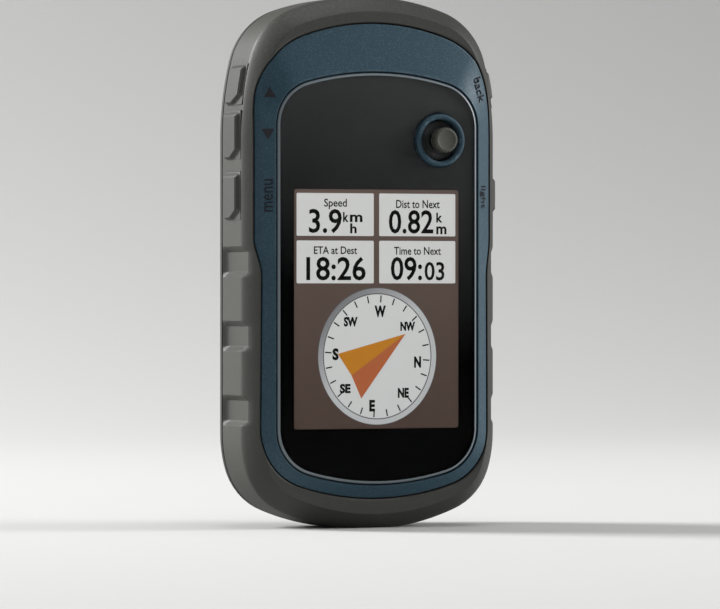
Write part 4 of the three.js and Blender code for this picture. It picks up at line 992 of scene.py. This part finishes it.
# %% Signs at the keys
plate_lines = opening - plate_edge
plate_points = (plate_edge + plate_lines * np.linspace(0, 1, 40)[:, None, None]).reshape(-1, 2)


def plate_depth(places):
    """Depth of the blue plate's front at places, along the nearest line across the plate."""
    apart = ((places[:, None] - plate_points[None]) ** 2).sum(-1)
    column = apart.argmin(1) % len(plate_edge)
    line = plate_lines[column]
    share = ((places - plate_edge[column]) * line).sum(-1) / (line ** 2).sum(-1)
    return edge_depth[column] + (face_low[1] - edge_depth[column]) * share


def settle(piece, lift=0.08):
    """Move each point of a flat print on to the blue plate under it."""
    p = read_points(piece.data)
    height = p[:, 1].max() - p[:, 1]
    p[:, 1] = plate_depth(p[:, [0, 2]]) - lift - height
    write_points(piece.data, p)
    return belong(piece, "casing")


def arrow(name, x, z, way):
    """Small triangle as rings that shrink to its middle, so it follows the plate."""
    corners = np.array([[-1.0, -way], [1.0, -way], [0.0, way], [-1.0, -way]])
    line = np.vstack([np.linspace(corners[k], corners[k + 1], 7)[:-1] for k in range(3)])
    middle = line.mean(0)
    sizes = (1.0, 1.0, 0.75, 0.5, 0.25, 0.03)
    rings = [at_depth(middle + (line - middle) * size + [x, z], -1.0 - (k > 0) * 0.01)
             for k, size in enumerate(sizes)]
    return settle(ring_piece(name, rings))


arrows = [arrow("arrow_up", -22.0, 83.7, 1), arrow("arrow_down", -22.6, 75.6, -1)]
words = [settle(letters("word_" + word, word, (x, 0, z), wide, high, turn, bold))
         for word, x, z, wide, high, turn, bold in (("menu", -22.5, 63.9, 6.2, 1.4, 90, 0.0),
                                                    ("back", 22.2, 84.8, 4.9, 1.9, -75, 0.012),
                                                    ("light", 22.65, 63.9, 4.4, 1.9, -90, 0.012))]
print("signs", len(arrows) + len(words))

# %% [markdown]
# ## Finishes
# Effects are node groups with named inputs, made once and used wherever they are
# needed: a moulded grain, rubbed edges, metal flecks and settled dust. Each finish
# keeps its own shader and its own values. Patterns read object coordinates, in metres.

# %% Node helpers


def put(tree, socket, value):
    """Give a socket a value, or a link from another socket."""
    if isinstance(value, bpy.types.NodeSocket):
        tree.links.new(value, socket)
    else:
        socket.default_value = value


def add(tree, kind, settings=None, **sockets):
    """Add a shader node. _0 is its first socket, and other sockets go by name."""
    made = tree.nodes.new("ShaderNode" + kind)
    for key, value in (settings or {}).items():
        setattr(made, key, value)
    for key, value in sockets.items():
        put(tree, made.inputs[int(key[1:]) if key[1:].isdigit() else key.replace("_", " ")], value)
    return made


def new_group(name, inputs, outputs):
    """Empty node group. Inputs are (name, kind, value), outputs (name, kind)."""
    tree = bpy.data.node_groups.new(name, "ShaderNodeTree")
    for label, kind, value in inputs:
        made = tree.interface.new_socket(label, in_out="INPUT", socket_type="NodeSocket" + kind)
        if value is not None:
            made.default_value = value
    for label, kind in outputs:
        tree.interface.new_socket(label, in_out="OUTPUT", socket_type="NodeSocket" + kind)
    return tree, tree.nodes.new("NodeGroupInput").outputs, tree.nodes.new("NodeGroupOutput").inputs


def use(tree, group, **sockets):
    """Place a node group in a material."""
    made = add(tree, "Group")
    made.node_tree = group
    for key, value in sockets.items():
        put(tree, made.inputs[key], value)
    return made.outputs


def srgb(r, g, b):
    """Linear colour from screen values of 0 to 255."""
    return tuple((v / 255 / 12.92 if v <= 10 else ((v / 255 + 0.055) / 1.055) ** 2.4)
                 for v in (r, g, b)) + (1.0,)


def tint(tree, amount, first, second):
    """Mix two colours by a mask."""
    return add(tree, "Mix", {"data_type": "RGBA"}, _0=amount, _6=first, _7=second).outputs[2]


def math_node(tree, operation, *values):
    """Result of a math node."""
    made = add(tree, "Math", {"operation": operation})
    for k, value in enumerate(values):
        put(tree, made.inputs[k], value)
    return made.outputs[0]


def scaled(tree, value, low, high, start=0.0, stop=1.0):
    """Stretch a mask from one range to another."""
    return add(tree, "MapRange", _0=value, _1=start, _2=stop, _3=low, _4=high).outputs[0]


# %% Shared effects
grain, gi, go = new_group("moulded grain", [("Place", "Vector", None), ("Size", "Float", 0.3)],
                          [("Height", "Float"), ("Shade", "Float")])
fine = add(grain, "TexNoise", Vector=gi["Place"], Detail=3.0, Roughness=0.6)
frequency = math_node(grain, "DIVIDE", 1000.0, gi["Size"])
grain.links.new(frequency, fine.inputs["Scale"])
pits = add(grain, "TexVoronoi", Vector=gi["Place"], Scale=frequency)
broad = add(grain, "TexNoise", Vector=gi["Place"], Scale=90.0, Detail=4.0)
both = math_node(grain, "MULTIPLY_ADD", pits.outputs["Distance"], 0.5, fine.outputs[0])
grain.links.new(both, go["Height"])
grain.links.new(broad.outputs[0], go["Shade"])

wear, wi, wo = new_group("rubbed edges", [("Place", "Vector", None), ("Amount", "Float", 0.5)],
                         [("Mask", "Float")])
convex = add(wear, "NewGeometry").outputs["Pointiness"]
edge_mask = scaled(wear, convex, 0.0, 1.0, 0.52, 0.60)
patch = add(wear, "TexNoise", Vector=wi["Place"], Scale=700.0, Detail=5.0).outputs[0]
patches = scaled(wear, patch, 0.0, 1.0, 0.35, 0.65)
worn = math_node(wear, "MULTIPLY", edge_mask, patches)
wear.links.new(math_node(wear, "MULTIPLY", worn, wi["Amount"]), wo["Mask"])

fleck, fi, fo = new_group("metal flecks", [("Place", "Vector", None), ("Size", "Float", 0.15),
                                           ("Cover", "Float", 0.3)],
                          [("Mask", "Float"), ("Shade", "Float")])
cells = add(fleck, "TexVoronoi", Vector=fi["Place"],
            Scale=math_node(fleck, "DIVIDE", 1000.0, fi["Size"]))
pick = add(fleck, "SeparateColor", _0=cells.outputs["Color"])
chosen = math_node(fleck, "LESS_THAN", pick.outputs[0], fi["Cover"])
close = scaled(fleck, cells.outputs["Distance"], 1.0, 0.0, 0.15, 0.45)
fleck.links.new(math_node(fleck, "MULTIPLY", chosen, close), fo["Mask"])
fleck.links.new(pick.outputs[1], fo["Shade"])

dust, di, do = new_group("settled dust", [("Place", "Vector", None), ("Amount", "Float", 0.2)],
                         [("Mask", "Float")])
facing = add(dust, "SeparateXYZ", _0=add(dust, "NewGeometry").outputs["Normal"]).outputs[2]
upward = scaled(dust, facing, 0.0, 1.0, -0.3, 1.0)
specks = add(dust, "TexNoise", Vector=di["Place"], Scale=2600.0, Detail=6.0).outputs[0]
thin = scaled(dust, specks, 0.0, 1.0, 0.48, 0.75)
film = math_node(dust, "MULTIPLY", upward, thin)
dust.links.new(math_node(dust, "MULTIPLY", film, di["Amount"]), do["Mask"])
print("groups", [g.name for g in bpy.data.node_groups])

# %% [markdown]
# ## Moulded plastics and rubber
# One function makes every moulded finish: a base colour with slow variation, paler
# rubbed edges, a little dust, and a grain that moves the roughness and the bump.

# %% Moulded finishes


def blank(name):
    """New material, its node tree, its shader and its object coordinates."""
    made = bpy.data.materials.new(name)
    made.use_nodes = True
    tree = made.node_tree
    return made, tree, tree.nodes["Principled BSDF"], add(tree, "TexCoord").outputs["Object"]


def shades(colour, factor, plus=0.0):
    """Colour times a factor, no channel above 1."""
    return tuple(min(c * factor + plus, 1) for c in colour[:3]) + (1.0,)


def raise_grain(tree, shader, height, strength, distance):
    """Bump the surface by a height."""
    raised = add(tree, "Bump", Strength=strength, Distance=distance, Height=height)
    tree.links.new(raised.outputs["Normal"], shader.inputs["Normal"])


def moulded(name, colour, rough=0.6, size=0.3, bump=0.35, vary=0.06, edge=0.4, dirt=0.15,
            metal=0.0, pale=1.5):
    """Material of a moulded part. Colours are linear."""
    made, tree, shader, place = blank(name)
    skin = use(tree, grain, Place=place, Size=size)
    rubbed = use(tree, wear, Place=place, Amount=edge)["Mask"]
    film_mask = use(tree, dust, Place=place, Amount=dirt)["Mask"]
    body = tint(tree, skin["Shade"], shades(colour, 1 - vary), shades(colour, 1 + vary))
    body = tint(tree, rubbed, body, shades(colour, pale, 0.01))
    body = tint(tree, film_mask, body, srgb(150, 145, 135))
    tree.links.new(body, shader.inputs["Base Color"])
    gloss = scaled(tree, skin["Height"], rough - 0.07, min(rough + 0.07, 1.0), 0.3, 1.0)
    tree.links.new(gloss, shader.inputs["Roughness"])
    shader.inputs["Metallic"].default_value = metal
    shader.inputs["Specular IOR Level"].default_value = 0.4
    raise_grain(tree, shader, skin["Height"], bump, 0.00006)
    return made


FINISH = {
    "housing": moulded("housing plastic", srgb(49, 49, 45), 0.5, 0.22, 0.3),
    "rear": moulded("rear plastic", srgb(47, 47, 44), 0.56, 0.26, 0.35),
    "key": moulded("key rubber", srgb(53, 53, 50), 0.54, 0.2, 0.25),
    "rubber": moulded("black rubber", srgb(30, 31, 33), 0.78, 0.18, 0.3),
    "stick": moulded("stick rubber", srgb(64, 64, 58), 0.6, 0.15, 0.35),
    "tray": moulded("white tray plastic", srgb(222, 222, 216), 0.5, 0.3, 0.1),
    "board": moulded("board lacquer", srgb(28, 88, 58), 0.35, 0.5, 0.2),
    "flex": moulded("flex film", srgb(176, 104, 42), 0.35, 0.4, 0.1),
    "ceramic": moulded("antenna ceramic", srgb(214, 201, 176), 0.6, 0.2, 0.2),
    "inner": moulded("inner plastic", srgb(38, 40, 42), 0.55, 0.25, 0.2),
    "cell": moulded("cell wrap", srgb(47, 111, 143), 0.32, 0.6, 0.08, metal=0.2),
}
print("moulded finishes", len(FINISH))

# %% [markdown]
# ## Blue metallic paint
# The plate's paint holds fine aluminium flakes: some cells of a pattern get a
# brighter colour and more metal. A thin clear coat lies over it.

# %% Painted finish


def painted(name, colour, bright, cover=0.35):
    """Paint with small and large flakes of a brighter colour, under a thin clear coat."""
    made, tree, shader, place = blank(name)
    skin = use(tree, grain, Place=place, Size=0.3)
    small = use(tree, fleck, Place=place, Size=0.11, Cover=cover)
    large = use(tree, fleck, Place=place, Size=0.2, Cover=cover * 0.4)
    rubbed = use(tree, wear, Place=place, Amount=0.35)["Mask"]
    body = tint(tree, skin["Shade"], shades(colour, 0.94), colour)
    body = tint(tree, scaled(tree, small["Mask"], 0.0, 0.55), body, bright)
    body = tint(tree, scaled(tree, large["Mask"], 0.0, 0.5), body, bright)
    body = tint(tree, rubbed, body, srgb(120, 138, 150))
    tree.links.new(body, shader.inputs["Base Color"])
    tree.links.new(scaled(tree, small["Mask"], 0.1, 0.4), shader.inputs["Metallic"])
    tree.links.new(scaled(tree, skin["Height"], 0.48, 0.62, 0.3, 1.0), shader.inputs["Roughness"])
    raise_grain(tree, shader, skin["Height"], 0.12, 0.00004)
    shader.inputs["Specular IOR Level"].default_value = 0.3
    shader.inputs["Coat Weight"].default_value = 0.12
    shader.inputs["Coat Roughness"].default_value = 0.35
    return made


FINISH["face"] = painted("blue metallic paint", srgb(37, 64, 78), srgb(110, 138, 148), 0.45)
FINISH["sign"] = moulded("sign ink", srgb(22, 26, 32), 0.9, 0.2, 0.05, edge=0.0, dirt=0.0)
FINISH["arrow"] = moulded("arrow ink", srgb(36, 36, 41), 0.85, 0.2, 0.1, edge=0.0, dirt=0.0)

# %% [markdown]
# ## Metals
# Screws, clips and cans are brushed or plated: a noise stretched along one way
# changes the roughness and gives fine scratches.

# %% Metal finishes


def metal(name, colour, rough=0.3, scale=(1.0, 1.0, 0.06)):
    """Drawn or plated metal. The grain is longest along the axis with the least scale."""
    made, tree, shader, place = blank(name)
    drawn = add(tree, "Mapping", Vector=place, Scale=scale).outputs[0]
    skin = use(tree, grain, Place=drawn, Size=0.12)
    rubbed = use(tree, wear, Place=place, Amount=0.6)["Mask"]
    body = tint(tree, skin["Shade"], shades(colour, 0.82), colour)
    body = tint(tree, rubbed, body, srgb(225, 225, 225))
    tree.links.new(body, shader.inputs["Base Color"])
    tree.links.new(scaled(tree, skin["Height"], rough - 0.1, rough + 0.15, 0.3, 1.0),
                   shader.inputs["Roughness"])
    shader.inputs["Metallic"].default_value = 1.0
    raise_grain(tree, shader, skin["Height"], 0.15, 0.00003)
    return made


FINISH["steel"] = metal("bright steel", srgb(186, 189, 192), 0.28)
FINISH["nickel"] = metal("nickel plate", srgb(200, 196, 184), 0.22, (1.0, 0.2, 1.0))

# %% [markdown]
# ## Window, border and display
# The window is clear and glossy, and its bevel gets a pale grey, a painted reflection. The border
# behind it is black ink with a painted reflection: it is paler towards its top and its right. The
# display glows a little, as a backlit panel does. The panel's brown field gets darker towards its
# foot and shows a fine grid of picture cells.

# %% Window and display finishes
CELL_PITCH = 0.19


def tone_and_reflection_blend(tree, place, colour, low_colour, lean, span):
    """Blend of two colours over height plus lean times the sideways place. On the border the blend is
    a painted reflection, paler towards its top and its right.
    """
    split = add(tree, "SeparateXYZ", _0=place).outputs
    slant = math_node(tree, "MULTIPLY_ADD", split[0], lean, split[2])
    return tint(tree, scaled(tree, slant, 0.0, 1.0, *span), low_colour or colour, colour)


def glossy(name, colour, rough=0.05, clear=0.0, index=1.49, low_colour=None, lean=0.0,
           span=(0.02, 0.088)):
    """Smooth surface whose colour may blend over height; on the border that blend is a painted
    reflection. The index sets how much light it throws back.
    """
    made, tree, shader, place = blank(name)
    smear = add(tree, "TexNoise", Vector=place, Scale=60.0, Detail=5.0).outputs[0]
    tree.links.new(scaled(tree, smear, rough * 0.6, rough * 1.6, 0.3, 0.7),
                   shader.inputs["Roughness"])
    streak = (1.0, 1.0, 1.0, 1.0) if clear else (0.02, 0.02, 0.02, 1.0)
    shade = tint(tree, scaled(tree, smear, 0.0, 0.06),
                 tone_and_reflection_blend(tree, place, colour, low_colour, lean, span), streak)
    tree.links.new(shade, shader.inputs["Base Color"])
    shader.inputs["Transmission Weight"].default_value = clear
    shader.inputs["IOR"].default_value = index
    return made


def lit(name, colour, low_colour=None, glow=0.85, grid=0.12, lean=0.0, span=(0.019, 0.065)):
    """Display surface: a colour that blends to a second one over height and also glows, with a fine
    cell grid.
    """
    made, tree, shader, place = blank(name)
    body = tone_and_reflection_blend(tree, place, colour, low_colour, lean, span)
    split = add(tree, "SeparateXYZ", _0=place).outputs
    waves = [math_node(tree, "SINE", math_node(tree, "MULTIPLY", split[axis],
                                               2 * math.pi / (CELL_PITCH * MM)))
             for axis in (0, 2)]
    line = scaled(tree, math_node(tree, "MAXIMUM", *waves), 0.0, grid, 0.6, 1.0)
    body = tint(tree, line, body, (0.0, 0.0, 0.0, 1.0))
    dull = tint(tree, 0.75, body, (0.0, 0.0, 0.0, 1.0))
    tree.links.new(dull, shader.inputs["Base Color"])
    tree.links.new(body, shader.inputs["Emission Color"])
    shader.inputs["Emission Strength"].default_value = glow
    shader.inputs["Roughness"].default_value = 0.6
    shader.inputs["Specular IOR Level"].default_value = 0.1
    return made


FINISH["window"] = glossy("clear window", srgb(240, 242, 242), 0.02, 1.0, 1.08)
# Pale grey on the clear bevel: a painted reflection.
FINISH["ground"] = moulded("ground window edge", srgb(116, 125, 130), 0.3, 0.12, 0.1, edge=0.0)
# The border is black ink at its foot. Its paler top and right, up to srgb(78, 78, 78), are a painted
# reflection.
FINISH["border"] = glossy("black border ink with painted reflection", srgb(78, 78, 78), 0.5, 0.0, 1.05, srgb(2, 2, 3),
                          lean=0.41, span=(0.04, 0.088))
FINISH["panel"] = lit("display field", srgb(100, 85, 79), srgb(78, 63, 57))
FINISH["pale"] = lit("display pale", srgb(214, 213, 211), srgb(206, 206, 205), grid=0.06)
FINISH["shade"] = lit("display shade", srgb(92, 90, 90), grid=0.05)
FINISH["ink"] = lit("display ink", srgb(26, 24, 24), glow=0.2, grid=0.0)
FINISH["rim"] = lit("display silver", srgb(120, 121, 123), srgb(186, 187, 188), grid=0.05,
                    lean=-0.9, span=(0.034, 0.05))
FINISH["orange"] = lit("display orange", srgb(188, 122, 38), grid=0.05)
FINISH["copper"] = lit("display copper", srgb(172, 96, 60), grid=0.05)
print("finishes", len(FINISH))

# %% [markdown]
# ## Finishes to pieces
# Each CAD node that stays gets the finish of its slot in the record, and each new
# piece gets its own.

# %% Give every piece its finish
LOOKS = {"housing": [front], "face": [plate, collar], "window": [lens], "border": [border],
         "rear": [rear, cover, spine], "inner": [disc], "rubber": [flap, boot], "stick": [cap],
         "key": key_pieces, "arrow": arrows, "sign": words, "pale": [dial] + fields,
         "rim": [dial_rim], "shade": [dial_shade], "orange": [needle_upper],
         "copper": [needle_lower], "ink": writing + ticks + points}
for look, pieces in LOOKS.items():
    for piece in pieces:
        piece.data.materials.clear()
        piece.data.materials.append(FINISH[look])
lens.data.materials.append(FINISH["ground"])
lens.data.polygons.foreach_set("material_index", BEVEL.astype(np.int32))

for part in frame["record"]["subparts"]:
    held = frame["nodes"][part["node"]]
    held.data.materials[0] = FINISH[part["material_slot"]]
print("finished nodes", len(frame["nodes"]))

# %% [markdown]
# ## Stage
# A pale floor sweeps up into a backdrop. One large soft lamp stands high at the left
# and behind, a second at the right in front, and a third above. The left side is the
# brightest, and the world adds plain light from all round.

# %% Floor, lamps and world
SWEEP, SWEEP_START = 1.2, 0.5
bend = np.radians(np.arange(0, 91, 3))
sweep = np.vstack([[0, 0], np.stack([SWEEP * np.sin(bend), SWEEP - SWEEP * np.cos(bend)], 1),
                   [SWEEP, 2.6]])
depth = np.r_[-1.6, SWEEP_START + sweep[1:, 0]]
rise = np.r_[0.0, sweep[1:, 1]]
wide = np.linspace(-3.0, 3.0, 3)
grid = np.stack(np.meshgrid(wide, np.arange(len(depth)), indexing="ij"), -1)
floor_points = np.stack([grid[..., 0], depth[grid[..., 1].astype(int)],
                         rise[grid[..., 1].astype(int)]], -1)
count = len(depth)
quads = [[i * count + j, (i + 1) * count + j, (i + 1) * count + j + 1, i * count + j + 1]
         for i in range(len(wide) - 1) for j in range(count - 1)]
floor_mesh = bpy.data.meshes.new("floor")
floor_mesh.from_pydata(floor_points.reshape(-1, 3).tolist(), [], quads)
floor_piece = linked("floor", floor_mesh)
floor_mesh.polygons.foreach_set("use_smooth", np.ones(len(quads), bool))
paper = bpy.data.materials.new("pale paper")
paper.use_nodes = True
paper.node_tree.nodes["Principled BSDF"].inputs["Base Color"].default_value = srgb(190, 190, 188)
paper.node_tree.nodes["Principled BSDF"].inputs["Roughness"].default_value = 0.9
floor_mesh.materials.append(paper)
floor_piece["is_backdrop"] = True


def lamp(name, place, size, power, aim=(0.0, 0.0, 0.05)):
    """Square area lamp that looks at a point."""
    data = bpy.data.lights.new(name, "AREA")
    data.shape = "RECTANGLE"
    data.size, data.size_y = size
    data.energy = power
    made = linked(name, data)
    made.location = place
    way = Vector(aim) - Vector(place)
    made.rotation_euler = way.to_track_quat("-Z", "Y").to_euler()
    return made


lamp("left softbox", (-0.95, 0.72, 0.7), (0.4, 0.6), 33)
lamp("right softbox", (1.1, -0.4, 0.4), (0.5, 0.5), 13)
lamp("top softbox", (0.1, -0.1, 1.25), (0.9, 0.6), 5)
world = bpy.data.worlds.new("studio")
world.use_nodes = True
world.node_tree.nodes["Background"].inputs["Color"].default_value = (0.9, 0.92, 0.95, 1.0)
world.node_tree.nodes["Background"].inputs["Strength"].default_value = 0.27
bpy.context.scene.world = world
print("lamps", len(bpy.data.lights))

low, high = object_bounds()
print("visual", [round(v, 5) for v in [*low, *high]])
